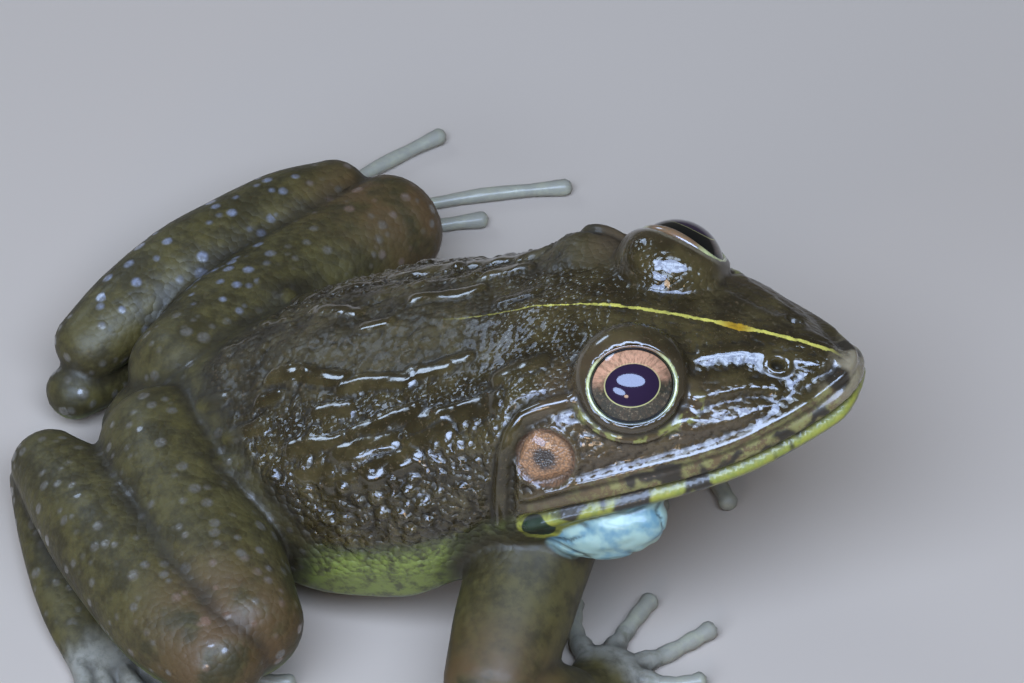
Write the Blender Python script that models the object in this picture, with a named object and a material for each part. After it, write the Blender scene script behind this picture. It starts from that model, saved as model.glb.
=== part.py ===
"""An adult male Indian bullfrog at life size, sitting low with its hind legs folded.

Lengths below are millimetres in the frog's own axes: x runs forward from the line through
both eyes, y to its left, z up from the floor.  place() turns them into world metres, with
the world's origin under the middle of the flat of the belly.
"""

import math

import bmesh
import bpy
import numpy as np
from mathutils import Matrix, Vector

MM = 0.001
EYES_TO_BELLY = 60.0  # how far the eye line lies ahead of the origin
GAP = 0.3  # clearance between neighbouring pieces
SNOUT_X = 37.2
VENT_X = -97.0
NECK_X = -20.5

# Lengthwise lines of head and trunk, each row at one x, from snout to vent.
TOP_LINE = (  # x, z along the middle of the back
    (SNOUT_X, 56.2), (36.2, 58.4), (34.5, 59.7), (31, 60.9), (22, 62), (5, 62.4), (-5, 62),
    (-11, 61), (-18, 58.6), (-27, 54.6), (-36, 50.6), (-48, 45.4), (-60, 39.8), (-70, 33.8),
    (-81, 26.5), (-90, 19), (VENT_X, 11),
)
BACK_EDGE = (  # x, y, z of the snout's ridge, then the edge of the back
    (SNOUT_X, 0, 56.2), (36.2, 2.1, 57.6), (34.5, 3.4, 58.1), (31, 4.6, 58.2), (27, 6.8, 58.5),
    (22, 9, 58.9), (14, 12.2, 59.8), (0, 15, 59.6), (-8, 18, 58), (-13, 20.2, 56.1),
    (-18, 21.4, 53.6), (-27, 20.4, 49), (-36, 21, 44.2), (-48, 22, 38.6), (-60, 21, 32.6),
    (-70, 18.5, 27), (-81, 15.5, 21), (-90, 11, 15.6), (VENT_X, 0, 11),
)
LIP_LINE = (  # x, y, z of the lip, then the widest part of the flank
    (SNOUT_X, 0, 56.2), (36.2, 4, 55), (34.5, 6.2, 54.1), (32, 8.5, 52.7), (28.5, 11.3, 51),
    (20, 17.6, 48), (7.7, 23.6, 44.8), (-5, 27, 40.6), (-13.9, 28.2, 36.6), (-20, 27.6, 32.5),
    (-27, 28.3, 28), (-36, 29.8, 24), (-48, 29.6, 20.5), (-60, 27, 18.5), (-70, 23.8, 16.5),
    (-81, 19, 14.5), (-90, 13, 12.5), (VENT_X, 0, 11),
)
LOWER_EDGE = (  # x, y, z of the jaw's lower edge, then the edge of the belly
    (SNOUT_X, 0, 56.2), (36.2, 2.4, 52.8), (34.5, 3.8, 50.8), (32, 4.9, 48.8), (28.5, 6.4, 46.2),
    (20, 10.8, 41.3), (7.7, 16, 36.6), (-5, 20, 29.6), (-13.9, 21.6, 23.4), (-20, 22.2, 18.5),
    (-27, 23.2, 14), (-36, 25.3, 9.6), (-48, 25, 7), (-60, 22.5, 5.8), (-70, 19.5, 5.2),
    (-81, 15, 5.5), (-90, 9, 7), (VENT_X, 0, 11),
)
UNDER_LINE = (  # x, z along the middle of chin, throat and belly
    (SNOUT_X, 56.2), (36.2, 52), (34.5, 49.6), (32, 47.2), (28.5, 44.4), (20, 38.4), (7.7, 31.4),
    (-5, 24.2), (-13.9, 17.5), (-20, 12.5), (-27, 7), (-36, 1.6), (-42, -0.4), (-48, -0.5),
    (-70, -0.5), (-78, -0.4), (-84, 2), (-90, 5), (VENT_X, 11),
)
SIDE_BULGE = 0.13  # how far a side stands out past the straight line, as a share of its length
HEAD_RINGS = 17
TRUNK_RINGS = 14
STEPS_PER_SPAN = 3  # points of a body section between two of its lines
MOUTH_BLOCK = (8.0, 45.0, -10.0)  # how far a mouth cutter reaches ahead, out to each side, and down
FLOOR_BLOCK = (400.0, 30.0)  # half its width, and its depth

# Eyes and eardrums.
EYE = Vector((0.2, 14.5, 58.5))
EYE_AXIS = Vector((0.18, 0.68, 0.71)).normalized()
EYE_RADIUS = 8.2
LID_RADIUS = 9.8
EYE_OPENING = 7.3
EAR_X = -12.0
EAR_Z = 48.6
EAR_RADIUS = 5.8
EAR_DEPTH = 1.7

# The sac at each side of the throat.
SAC = Vector((-2.5, 21.8, 32.2))
SAC_HALF = (11.5, 6.3, 6.2)
SAC_PITCH = 0.36

# Limbs: each row is x, y, z of the bone's line, then half the width and half the height.
# y is the distance out from the middle plane, the same way round on both sides.
END_REACH = 0.8  # how far a limb's round end runs past its last row, as a share of the half width there
LINE_SAMPLES = 60  # places along a limb where its direction is worked out
THIGH = {
    "right": ((-84, 8, 16.5, 11, 10.5), (-77, 21, 17, 12, 11.3), (-67.5, 34, 17, 12, 11.2),
              (-58.5, 46, 16, 10, 10)),
    "left": ((-84, 8, 16.5, 11, 10.5), (-78, 23, 15.5, 12, 11), (-70, 39, 14.5, 11, 10.5),
             (-60.5, 55, 14, 9.6, 9.4)),
}
SHANK = {
    "right": ((-61, 53.5, 15, 8.6, 8.4), (-71, 45.5, 15, 11.2, 9.4), (-83, 32.5, 14.8, 12, 9.2),
              (-95, 20.5, 13, 9.6, 7.6), (-103, 13, 11.5, 6.6, 6)),
    "left": ((-71, 57.5, 15.5, 7.2, 7.2), (-79, 49, 16, 8.8, 8.4), (-89, 36.5, 16, 9, 8.4),
             (-98, 24.5, 14.5, 7.8, 7.2), (-104, 15, 12, 6.2, 6)),
}
ANKLE = {
    "right": ((-105, 12, 6.4, 5, 4.6), (-100, 22, 4.4, 5.6, 4.2), (-89, 38, 3, 7.4, 3.4),
              (-83, 45, 2, 7.6, 2.2)),
    "left": ((-105, 9, 6.4, 5, 4.6), (-100, 18, 4.4, 5.6, 4.2), (-90, 33, 3, 7.4, 3.4),
             (-84, 40, 2, 7.4, 2.2)),
}
TOE_TIPS = {  # x, y of the first to the fifth toe
    "right": ((-52, 43), (-43, 52), (-39, 66), (-40, 84), (-62, 86)),
    "left": ((-66, 51), (-57, 61), (-49.5, 73), (-37.5, 84.5), (-62, 91)),
}
TOE_BOW = (0.05, 0.08, 0.11, 0.12, 0.07)  # how far each toe bows outward, as a share of its length
TOE_SPREAD = 2.6  # spacing of the toes' roots across the foot
DIGIT_KNOTS = (0, 0.3, 0.55, 0.8, 1.0)  # shares of a digit's length where its rows stand
TOE_HALF = (1.9, 1.25)  # half thickness at the root and near the tip
TOE_TIP_HALF = 1.5
TOE_Z = 1.25
WEB_REACH = 0.66  # how far the web runs along the toes
WEB_HOLLOW = 0.3  # how deep its free edge curves in
WEB_THICKNESS = 1.1
WEB_LIFT = 0.1  # how far the web's underside is off the floor
FOOT_VOXEL = 0.5  # grain of the skin that melts digits and palm into one piece
FOOT_TRIANGLES = 560
HAND_TRIANGLES = 340
UPPER_ARM = {
    "right": ((-15, 18, 21.5, 10.3, 9.8), (-15.5, 32, 17, 10, 9.3), (-15.5, 45, 12.6, 8.8, 8.4)),
    "left": ((-15, 18, 21.5, 10.3, 9.8), (-17, 32, 17, 10, 9.3), (-21, 44, 12.6, 8.8, 8.4)),
}
FOREARM = {
    "right": ((-14.5, 46, 11.4, 8, 7.8), (-9, 43, 9.4, 7.8, 7), (-4, 38, 6.2, 5.4, 4.8)),
    "left": ((-21, 45.5, 11.4, 8, 7.8), (-16, 45, 9.4, 7.8, 7), (-10, 41.5, 6.2, 5.4, 4.8)),
}
PALM = {
    "right": ((-3.2, 37.2, 5, 4.8, 4.2), (-1.5, 32, 3.2, 5.6, 3.2), (0, 26.5, 2.4, 6.2, 2.5)),
    "left": ((-9.4, 40.8, 5, 4.8, 4.2), (-6.5, 36, 3.2, 5.6, 3.2), (-4, 31, 2.4, 6.2, 2.5)),
}
FINGER_TIPS = {  # x, y of the first to the fourth finger
    "right": ((-10, 13), (2, 9), (13.5, 13), (15, 25)),
    "left": ((-12, 17), (-2, 13.5), (9, 17.5), (11.5, 29)),
}
FINGER_BOW = (-0.08, -0.03, 0.03, 0.08)
FINGER_SPREAD = 2.7
FINGER_HALF = (2.3, 1.5)
FINGER_TIP_HALF = 1.7
FINGER_Z = 1.5

COLOURS = {  # base colour, roughness
    "back": ((0.045, 0.036, 0.022), 0.3),
    "leg": ((0.075, 0.058, 0.045), 0.35),
    "jaw": ((0.24, 0.24, 0.08), 0.35),
    "eardrum": ((0.22, 0.12, 0.07), 0.4),
    "sac": ((0.42, 0.55, 0.52), 0.3),
    "eye": ((0.02, 0.015, 0.04), 0.05),
}


def clear_scene():
    for thing in list(bpy.data.objects):
        bpy.data.objects.remove(thing, do_unlink=True)


def material(name):
    """One Principled material for each colour, made once."""
    if name in bpy.data.materials:
        return bpy.data.materials[name]
    made = bpy.data.materials.new(name)
    made.use_nodes = True
    shader = made.node_tree.nodes["Principled BSDF"]
    colour, roughness = COLOURS[name]
    shader.inputs["Base Color"].default_value = (*colour, 1.0)
    shader.inputs["Roughness"].default_value = roughness
    shader.inputs["Metallic"].default_value = 0.0
    return made


def place(points):
    """Frog millimetres to world metres."""
    return (np.asarray(points, float) + (EYES_TO_BELLY, 0.0, 0.0)) * MM


def add_object(name, points, faces, finish="leg"):
    """A mesh object with its faces turned outward."""
    mesh = bpy.data.meshes.new(name)
    mesh.from_pydata(place(points).tolist(), [], faces)
    shape = bmesh.new()
    shape.from_mesh(mesh)
    bmesh.ops.recalc_face_normals(shape, faces=shape.faces)
    shape.to_mesh(mesh)
    shape.free()
    mesh.materials.append(material(finish))
    mesh.shade_smooth()
    made = bpy.data.objects.new(name, mesh)
    bpy.context.scene.collection.objects.link(made)
    return made


def as_guide(thing):
    """A cutter is drawn as wire and left out of the model."""
    thing.hide_render = True
    thing.display_type = "WIRE"
    return thing


def combine(thing, other, operation):
    step = thing.modifiers.new(f"{operation}_{other.name}", "BOOLEAN")
    step.operation = operation
    step.solver = "EXACT"
    step.object = other


def smooth_through(known, values, wanted):
    """Cubic curve through rising knots that never overshoots them."""
    known = np.asarray(known, float)
    values = np.asarray(values, float)
    width = np.diff(known)
    slope = np.diff(values) / width
    turning = slope[:-1] * slope[1:] <= 0
    before = 2 * width[1:] + width[:-1]
    after = width[1:] + 2 * width[:-1]
    with np.errstate(divide="ignore", invalid="ignore"):
        mean = (before + after) / (before / slope[:-1] + after / slope[1:])
    inner = np.where(turning, 0.0, mean)
    tangent = np.concatenate([[slope[0]], inner, [slope[-1]]])
    index = np.clip(np.searchsorted(known, wanted) - 1, 0, len(width) - 1)
    h = width[index]
    t = (wanted - known[index]) / h
    return (
        values[index] * (1 + 2 * t) * (1 - t) ** 2
        + values[index + 1] * t * t * (3 - 2 * t)
        + tangent[index] * h * t * (1 - t) ** 2
        - tangent[index + 1] * h * t * t * (1 - t)
    )


def along_body(x):
    """An angle that runs 0 at the snout to pi at the vent, so both ends come out round."""
    middle = (SNOUT_X + VENT_X) / 2
    half = (SNOUT_X - VENT_X) / 2
    return np.arccos(np.clip((np.asarray(x, float) - middle) / half, -1, 1))


def line_at(line, x, column):
    rows = np.array(line, float)
    return smooth_through(along_body(rows[:, 0]), rows[:, column], along_body(x))


def body_section(x, grow=0.0):
    """Rings of points, one for each x: a smooth closed curve through the lengthwise lines."""
    zero = np.zeros_like(x)
    top = np.stack([zero, line_at(TOP_LINE, x, 1) + grow], -1)
    edge = np.stack([line_at(BACK_EDGE, x, 1) + grow, line_at(BACK_EDGE, x, 2) + grow], -1)
    lip = np.stack([line_at(LIP_LINE, x, 1) + grow, line_at(LIP_LINE, x, 2)], -1)
    lower = np.stack([line_at(LOWER_EDGE, x, 1) + grow, line_at(LOWER_EDGE, x, 2) - grow], -1)
    under = np.stack([zero, line_at(UNDER_LINE, x, 1) - grow], -1)
    knots = [top, edge, bulged(edge, lip), lip, bulged(lip, lower), lower, under]
    mirrored = (-1.0, 1.0)
    padded = np.stack([edge * mirrored, *knots, lower * mirrored])
    half = []
    for span in range(1, len(padded) - 2):
        p0, p1, p2, p3 = padded[span - 1:span + 3]
        for step in range(STEPS_PER_SPAN):
            t = step / STEPS_PER_SPAN
            half.append(
                0.5 * (2 * p1 + (p2 - p0) * t + (2 * p0 - 5 * p1 + 4 * p2 - p3) * t * t
                       + (3 * p1 - p0 - 3 * p2 + p3) * t ** 3)
            )
    half.append(under)
    half = np.stack(half, 1)
    other = half[:, -2:0:-1] * mirrored
    ring = np.concatenate([half, other], axis=1)
    return np.concatenate([np.broadcast_to(x[:, None, None], ring.shape[:2] + (1,)), ring], -1)


def bulged(a, b):
    """The point midway from a to b, pushed outward."""
    along = b - a
    out = np.stack([-along[:, 1], along[:, 0]], -1)
    return (a + b) / 2 + out * SIDE_BULGE


def skin_rings(rings, start=None, end=None):
    """Faces between rings of equal count, with a point or a flat lid at each end."""
    count, around = rings.shape[:2]
    points = rings.reshape(-1, 3).tolist()
    faces = []
    for i in range(count - 1):
        for j in range(around):
            k = (j + 1) % around
            faces.append((i * around + j, i * around + k, (i + 1) * around + k, (i + 1) * around + j))
    for tip, first in ((start, 0), (end, (count - 1) * around)):
        loop = list(range(first, first + around))
        if tip is None:
            faces.append(tuple(loop))
            continue
        points.append(tuple(tip))
        faces += [(loop[j], loop[(j + 1) % around], len(points) - 1) for j in range(around)]
    return points, faces


def ring_places(start, end, count):
    """x of rings from start to end, evenly spaced in along_body's angle, ends left out at poles."""
    first, last = along_body(start), along_body(end)
    angles = np.linspace(first, last, count)
    if start == SNOUT_X:
        angles = angles[1:]
    if end == VENT_X:
        angles = angles[:-1]
    return (SNOUT_X + VENT_X) / 2 + (SNOUT_X - VENT_X) / 2 * np.cos(angles)


def body_piece(name, start, end, count, finish, grow=0.0):
    rings = body_section(ring_places(start, end, count), grow)
    nose = (SNOUT_X + grow, 0, TOP_LINE[0][1]) if start == SNOUT_X else None
    rear = (VENT_X - grow, 0, TOP_LINE[-1][1]) if end == VENT_X else None
    return add_object(name, *skin_rings(rings, nose, rear), finish)


def tube(rows, rings=9, around=12, grow=0.0):
    """A tapering limb along the rows' line, oval across, rounded at both ends."""
    rows = np.array(rows, float)
    steps = np.linalg.norm(np.diff(rows[:, :3], axis=0), axis=1)
    knots = np.concatenate([[0], np.cumsum(steps)])
    nose = rows[0, 3] * END_REACH + grow
    tail = rows[-1, 3] * END_REACH + grow
    total = knots[-1] + nose + tail
    places = total * (1 - np.cos(np.linspace(0, math.pi, rings + 2)[1:-1])) / 2
    inside = np.clip(places - nose, 0, knots[-1])
    line = np.stack([smooth_through(knots, rows[:, k], inside) for k in range(3)], -1)
    samples = np.linspace(0, knots[-1], LINE_SAMPLES)
    drawn = np.stack([smooth_through(knots, rows[:, k], samples) for k in range(3)], -1)
    tangent = np.gradient(drawn, axis=0)
    tangent = tangent[(inside / knots[-1] * (LINE_SAMPLES - 1)).round().astype(int)]
    tangent /= np.linalg.norm(tangent, axis=1, keepdims=True)
    beyond = np.minimum(places - nose, 0) + np.maximum(places - nose - knots[-1], 0)
    line = line + tangent * beyond[:, None]
    side = np.cross(tangent, (0.0, 0.0, 1.0))
    side /= np.linalg.norm(side, axis=1, keepdims=True)
    up = np.cross(side, tangent)
    from_ends = np.minimum(places / nose, (total - places) / tail)
    taper = np.sqrt(1 - (1 - np.minimum(from_ends, 1)) ** 2)
    half_width = (smooth_through(knots, rows[:, 3], inside) + grow) * taper
    half_height = (smooth_through(knots, rows[:, 4], inside) + grow) * taper
    turn = np.linspace(0, 2 * math.pi, around, endpoint=False)
    ring = (
        line[:, None]
        + side[:, None] * (half_width[:, None] * np.cos(turn))[..., None]
        + up[:, None] * (half_height[:, None] * np.sin(turn))[..., None]
    )
    first = line[0] - tangent[0] * places[0]
    last = line[-1] + tangent[-1] * (total - places[-1])
    return skin_rings(ring, first, last)


def sided(rows, side):
    """Rows given outward, turned to the frog's left (+y) or right (-y)."""
    sign = 1 if side == "left" else -1
    return tuple((row[0], row[1] * sign, *row[2:]) for row in rows)


def limb(name, rows, finish="leg", grow=0.0):
    return add_object(name, *tube(rows, grow=grow), finish)


def ball(name, centre, radius, finish="eye", segments=18, rings=10):
    """A round ball, in millimetres, with its middle at centre."""
    mesh = bpy.data.meshes.new(name)
    shape = bmesh.new()
    bmesh.ops.create_uvsphere(shape, u_segments=segments, v_segments=rings, radius=radius * MM)
    shape.to_mesh(mesh)
    shape.free()
    mesh.materials.append(material(finish))
    mesh.shade_smooth()
    made = bpy.data.objects.new(name, mesh)
    made.location = place(centre)
    bpy.context.scene.collection.objects.link(made)
    return made


def rod(name, foot, axis, radius, length):
    """A straight round cutter from foot along axis."""
    mesh = bpy.data.meshes.new(name)
    shape = bmesh.new()
    bmesh.ops.create_cone(
        shape, cap_ends=True, segments=20, radius1=radius * MM, radius2=radius * MM, depth=length * MM
    )
    shape.to_mesh(mesh)
    shape.free()
    made = bpy.data.objects.new(name, mesh)
    made.rotation_mode = "QUATERNION"
    made.rotation_quaternion = axis.to_track_quat("Z", "Y")
    made.location = Vector(place(foot)) + axis * length * MM / 2
    bpy.context.scene.collection.objects.link(made)
    return as_guide(made)


def lens(name, centre, half, finish, axis=None, pitch=0.0):
    """A flattened ball: half gives its half sizes, the last along axis, or it is pitched nose up."""
    made = ball(name, (0, 0, 0), 1.0, finish, 16, 8)
    made.location = (0, 0, 0)
    turn = axis.to_track_quat("Z", "Y").to_matrix() if axis else Matrix.Rotation(-pitch, 3, "Y")
    made.data.transform(Matrix.Diagonal((*half, 1.0)))
    made.data.transform(turn.to_4x4())
    made.data.transform(Matrix.Translation(place(centre)))
    return made


def floor_block():
    """What lies below the floor, cut away from all that rests on it."""
    half, deep = FLOOR_BLOCK
    corners = [(x, y, z) for x in (-half, half) for y in (-half, half) for z in (-deep, 0)]
    faces = [(0, 1, 3, 2), (4, 6, 7, 5), (0, 4, 5, 1), (2, 3, 7, 6), (0, 2, 6, 4), (1, 5, 7, 3)]
    return as_guide(add_object("floor_block", corners, faces))


def mouth_block(name, shift):
    """All that lies under the line of the mouth, moved up or down by shift."""
    ahead, half, bottom = MOUTH_BLOCK
    x = np.linspace(SNOUT_X - 2 * GAP, NECK_X - 4, 14)
    z = line_at(LIP_LINE, x, 2) + shift
    x = np.concatenate([[SNOUT_X + ahead], x])
    z = np.concatenate([[z[0]], z])
    profile = list(zip(x, z)) + [(x[-1], bottom), (x[0], bottom)]
    count = len(profile)
    points = [(px, side, pz) for side in (-half, half) for px, pz in profile]
    faces = [tuple(range(count)), tuple(range(count, 2 * count))]
    faces += [(i, (i + 1) % count, (i + 1) % count + count, i + count) for i in range(count)]
    return as_guide(add_object(name, points, faces))


def ear_place():
    """Where the eardrum sits on the side of the head, and which way it faces."""
    x = np.array([EAR_X - 1.0, EAR_X, EAR_X + 1.0])
    rings = body_section(x)[:, : 4 * STEPS_PER_SPAN]
    near = int(np.argmin(np.abs(rings[1, :, 2] - EAR_Z)))
    across = rings[1, near + 1] - rings[1, near - 1]
    forward = rings[2, near] - rings[0, near]
    out = Vector(np.cross(forward, across)).normalized()
    if out.y < 0:
        out = -out
    return Vector(rings[1, near]), out


def flipped(vector, sign):
    return Vector((vector.x, vector.y * sign, vector.z))


def build_head():
    """Head above the mouth, lower jaw below it, with sockets for the eyes and eardrums."""
    head = body_piece("head", SNOUT_X, NECK_X + GAP / 2, HEAD_RINGS, "back")
    jaw = body_piece("lower_jaw", SNOUT_X, NECK_X + GAP / 2, HEAD_RINGS, "jaw")
    ear, ear_axis = ear_place()
    for side, sign in (("left", 1), ("right", -1)):
        eye = flipped(EYE, sign)
        axis = flipped(EYE_AXIS, sign)
        combine(head, as_guide(ball(f"lid_{side}", eye, LID_RADIUS, "back")), "UNION")
        combine(head, as_guide(ball(f"socket_{side}", eye, EYE_RADIUS + GAP)), "DIFFERENCE")
        combine(head, rod(f"opening_{side}", eye, axis, EYE_OPENING, 20), "DIFFERENCE")
        ball(f"eye_{side}", eye, EYE_RADIUS)
        drum, drum_axis = flipped(ear, sign), flipped(ear_axis, sign)
        drum_half = (EAR_RADIUS, EAR_RADIUS, EAR_DEPTH)
        lens(f"eardrum_{side}", drum, drum_half, "eardrum", axis=drum_axis)
        seat_half = tuple(half + GAP for half in drum_half)
        seat = as_guide(lens(f"ear_seat_{side}", drum, seat_half, "eardrum", axis=drum_axis))
        combine(head, seat, "DIFFERENCE")
    combine(head, mouth_block("mouth_upper", GAP / 2), "DIFFERENCE")
    combine(jaw, mouth_block("mouth_lower", -GAP / 2), "INTERSECT")


def build_trunk(floor):
    trunk = body_piece("trunk", NECK_X - GAP / 2, VENT_X, TRUNK_RINGS, "back")
    combine(trunk, floor, "DIFFERENCE")


def build_sac(side, body_cutter):
    """The sac, and the room that it takes from the arm behind it."""
    middle = flipped(SAC, 1 if side == "left" else -1)
    sac = lens(f"vocal_sac_{side}", middle, SAC_HALF, "sac", pitch=SAC_PITCH)
    combine(sac, body_cutter, "DIFFERENCE")
    room_half = tuple(half + GAP for half in SAC_HALF)
    return as_guide(lens(f"sac_room_{side}", middle, room_half, "sac", pitch=SAC_PITCH))


def digit(root, tip, height, half, tip_half, bow):
    """Rows for a toe or finger that bows outward a little and ends in a rounder tip."""
    root, tip = np.array(root, float), np.array(tip, float)
    side = np.array([-(tip - root)[1], (tip - root)[0]]) * bow
    rows = []
    for share, thick in zip(DIGIT_KNOTS, (half[0], (half[0] + half[1]) / 2, half[1], half[1], tip_half)):
        spot = root + (tip - root) * share + side * math.sin(math.pi * share)
        rows.append((spot[0], spot[1], max(height, thick * 0.92), thick, thick))
    return rows


def splayed(base_rows, tips, bows, spread, height, half, tip_half):
    """The digits that fan out from the end of a palm or ankle, first digit first."""
    end = np.array(base_rows[-1][:2], float)
    heading = end - np.array(base_rows[-2][:2], float)
    heading /= np.linalg.norm(heading)
    across = np.array([heading[1], -heading[0]])
    if across @ (np.array(tips[0]) - np.array(tips[-1])) < 0:
        across = -across
    middle = (len(tips) - 1) / 2
    return [
        digit(end + across * spread * (middle - k), tip, height, half, tip_half, bow)
        for k, (tip, bow) in enumerate(zip(tips, bows))
    ]


def web(first, second):
    """A thin closed sheet between two toes, with its free edge curved in."""
    across, lengthwise = 7, 10
    a = np.linspace(0, 1, across)[None, :]
    s = np.linspace(0, 1, lengthwise)[:, None]
    reach = s * WEB_REACH * (1 - WEB_HOLLOW * 4 * a * (1 - a))
    knots = np.array(DIGIT_KNOTS)
    sides = []
    for toe in (first, second):
        rows = np.array(toe, float)
        sides.append(np.stack([smooth_through(knots, rows[:, k], reach) for k in range(2)], -1))
    flat = sides[0] * (1 - a[..., None]) + sides[1] * a[..., None]
    low = np.concatenate([flat, np.full(flat.shape[:2] + (1,), WEB_LIFT)], -1).reshape(-1, 3)
    high = low + (0, 0, WEB_THICKNESS)
    faces = []
    layer = across * lengthwise
    for i in range(lengthwise - 1):
        for j in range(across - 1):
            quad = (i * across + j, i * across + j + 1, (i + 1) * across + j + 1, (i + 1) * across + j)
            faces += [quad, tuple(layer + k for k in quad)]
    rim = list(range(across)) + [i * across + across - 1 for i in range(1, lengthwise)]
    rim += [(lengthwise - 1) * across + j for j in range(across - 2, -1, -1)]
    rim += [i * across for i in range(lengthwise - 2, 0, -1)]
    for here, there in zip(rim, rim[1:] + rim[:1]):
        faces.append((here, there, there + layer, here + layer))
    return np.concatenate([low, high]).tolist(), faces


def fused(name, shapes, voxel, triangles, finish="leg"):
    """Overlapping closed shapes melted into one skin of about the given count of triangles."""
    points, faces = [], []
    for some_points, some_faces in shapes:
        start = len(points)
        points += [tuple(p) for p in some_points]
        faces += [tuple(start + k for k in face) for face in some_faces]
    made = add_object(name, points, faces, finish)
    melt = made.modifiers.new("melt", "REMESH")
    melt.mode = "VOXEL"
    melt.voxel_size = voxel * MM
    melt.use_smooth_shade = True
    bpy.context.view_layer.update()
    seen = made.evaluated_get(bpy.context.evaluated_depsgraph_get())
    count = sum(len(face.vertices) - 2 for face in seen.data.polygons)
    thin = made.modifiers.new("thin", "DECIMATE")
    thin.ratio = triangles / count
    return made


def build_hind_leg(side, body_cutter, floor):
    thigh_rows = sided(THIGH[side], side)
    shank_rows = sided(SHANK[side], side)
    thigh = limb(f"thigh_{side}", thigh_rows)
    shank = limb(f"shank_{side}", shank_rows)
    toes = splayed(ANKLE[side], TOE_TIPS[side], TOE_BOW, TOE_SPREAD, TOE_Z, TOE_HALF, TOE_TIP_HALF)
    toes = [sided(toe, side) for toe in toes]
    shapes = [tube(sided(ANKLE[side], side))] + [tube(toe, 10, 8) for toe in toes]
    shapes += [web(first, second) for first, second in zip(toes, toes[1:])]
    foot = fused(f"foot_{side}", shapes, FOOT_VOXEL, FOOT_TRIANGLES)
    thigh_cutter = as_guide(limb(f"thigh_room_{side}", thigh_rows, grow=GAP))
    shank_cutter = as_guide(limb(f"shank_room_{side}", shank_rows, grow=GAP))
    for piece, cutters in (
        (thigh, (body_cutter, floor)),
        (shank, (thigh_cutter, body_cutter, floor)),
        (foot, (floor, shank_cutter, thigh_cutter, body_cutter)),
    ):
        for cutter in cutters:
            combine(piece, cutter, "DIFFERENCE")


def build_arm(side, body_cutter, sac_cutter, floor):
    upper_rows = sided(UPPER_ARM[side], side)
    fore_rows = sided(FOREARM[side], side)
    upper = limb(f"upper_arm_{side}", upper_rows)
    forearm = limb(f"forearm_{side}", fore_rows)
    fingers = splayed(
        PALM[side], FINGER_TIPS[side], FINGER_BOW, FINGER_SPREAD, FINGER_Z, FINGER_HALF, FINGER_TIP_HALF
    )
    fingers = [sided(finger, side) for finger in fingers]
    shapes = [tube(sided(PALM[side], side))] + [tube(finger, 10, 8) for finger in fingers]
    hand = fused(f"hand_{side}", shapes, FOOT_VOXEL, HAND_TRIANGLES)
    upper_cutter = as_guide(limb(f"upper_arm_room_{side}", upper_rows, grow=GAP))
    fore_cutter = as_guide(limb(f"forearm_room_{side}", fore_rows, grow=GAP))
    for piece, cutters in (
        (upper, (body_cutter, sac_cutter, floor)),
        (forearm, (upper_cutter, body_cutter, sac_cutter, floor)),
        (hand, (floor, fore_cutter, upper_cutter, body_cutter)),
    ):
        for cutter in cutters:
            combine(piece, cutter, "DIFFERENCE")


clear_scene()
under_floor = floor_block()
body_room = as_guide(body_piece("body_room", SNOUT_X, VENT_X, HEAD_RINGS + TRUNK_RINGS, "back", grow=GAP))
build_head()
build_trunk(under_floor)
for which in ("left", "right"):
    sac_room = build_sac(which, body_room)
    build_hind_leg(which, body_room, under_floor)
    build_arm(which, body_room, sac_room, under_floor)
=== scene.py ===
"""The looks of a life-size Indian bullfrog, sitting low with its hind legs folded."""

import math

import bpy
import numpy as np
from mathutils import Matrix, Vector


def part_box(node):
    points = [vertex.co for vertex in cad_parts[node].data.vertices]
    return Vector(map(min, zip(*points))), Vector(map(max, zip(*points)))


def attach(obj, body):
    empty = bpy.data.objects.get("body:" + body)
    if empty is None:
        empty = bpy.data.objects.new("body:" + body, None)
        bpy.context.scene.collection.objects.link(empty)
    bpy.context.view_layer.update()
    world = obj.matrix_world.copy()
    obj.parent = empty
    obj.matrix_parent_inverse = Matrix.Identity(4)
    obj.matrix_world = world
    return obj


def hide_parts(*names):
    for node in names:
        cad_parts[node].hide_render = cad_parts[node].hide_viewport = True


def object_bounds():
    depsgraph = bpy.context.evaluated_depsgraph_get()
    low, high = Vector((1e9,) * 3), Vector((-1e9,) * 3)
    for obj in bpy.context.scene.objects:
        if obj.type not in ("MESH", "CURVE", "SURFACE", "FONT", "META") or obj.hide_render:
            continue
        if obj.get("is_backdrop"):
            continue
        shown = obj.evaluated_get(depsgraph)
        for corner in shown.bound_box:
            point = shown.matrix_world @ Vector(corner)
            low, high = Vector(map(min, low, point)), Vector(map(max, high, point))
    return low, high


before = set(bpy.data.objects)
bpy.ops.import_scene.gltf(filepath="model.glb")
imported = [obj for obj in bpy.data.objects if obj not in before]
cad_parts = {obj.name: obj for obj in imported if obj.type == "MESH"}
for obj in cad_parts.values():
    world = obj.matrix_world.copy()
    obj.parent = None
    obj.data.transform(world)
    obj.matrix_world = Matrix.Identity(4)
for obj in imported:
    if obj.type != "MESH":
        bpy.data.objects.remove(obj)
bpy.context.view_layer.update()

# ==== The skin ====
# Head, trunk, legs and feet wear one wet skin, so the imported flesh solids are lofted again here,
# finer, melted into a single surface, and given the folds, lids, warts and markings of a bullfrog.

# Lengths are millimetres in the frog's own axes: x forward from the line through both eyes, y to
# its left, z up from the floor.  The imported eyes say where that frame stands.
MM = 0.001
FAR = 9.0  # stands for anything too far off to matter
EYE = np.array((0.2, 14.5, 58.5))
eye_low, eye_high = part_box("eye_left")
HOME = ((np.array(eye_low) + np.array(eye_high)) / 2 / MM - EYE) * (1, 0, 0)

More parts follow.
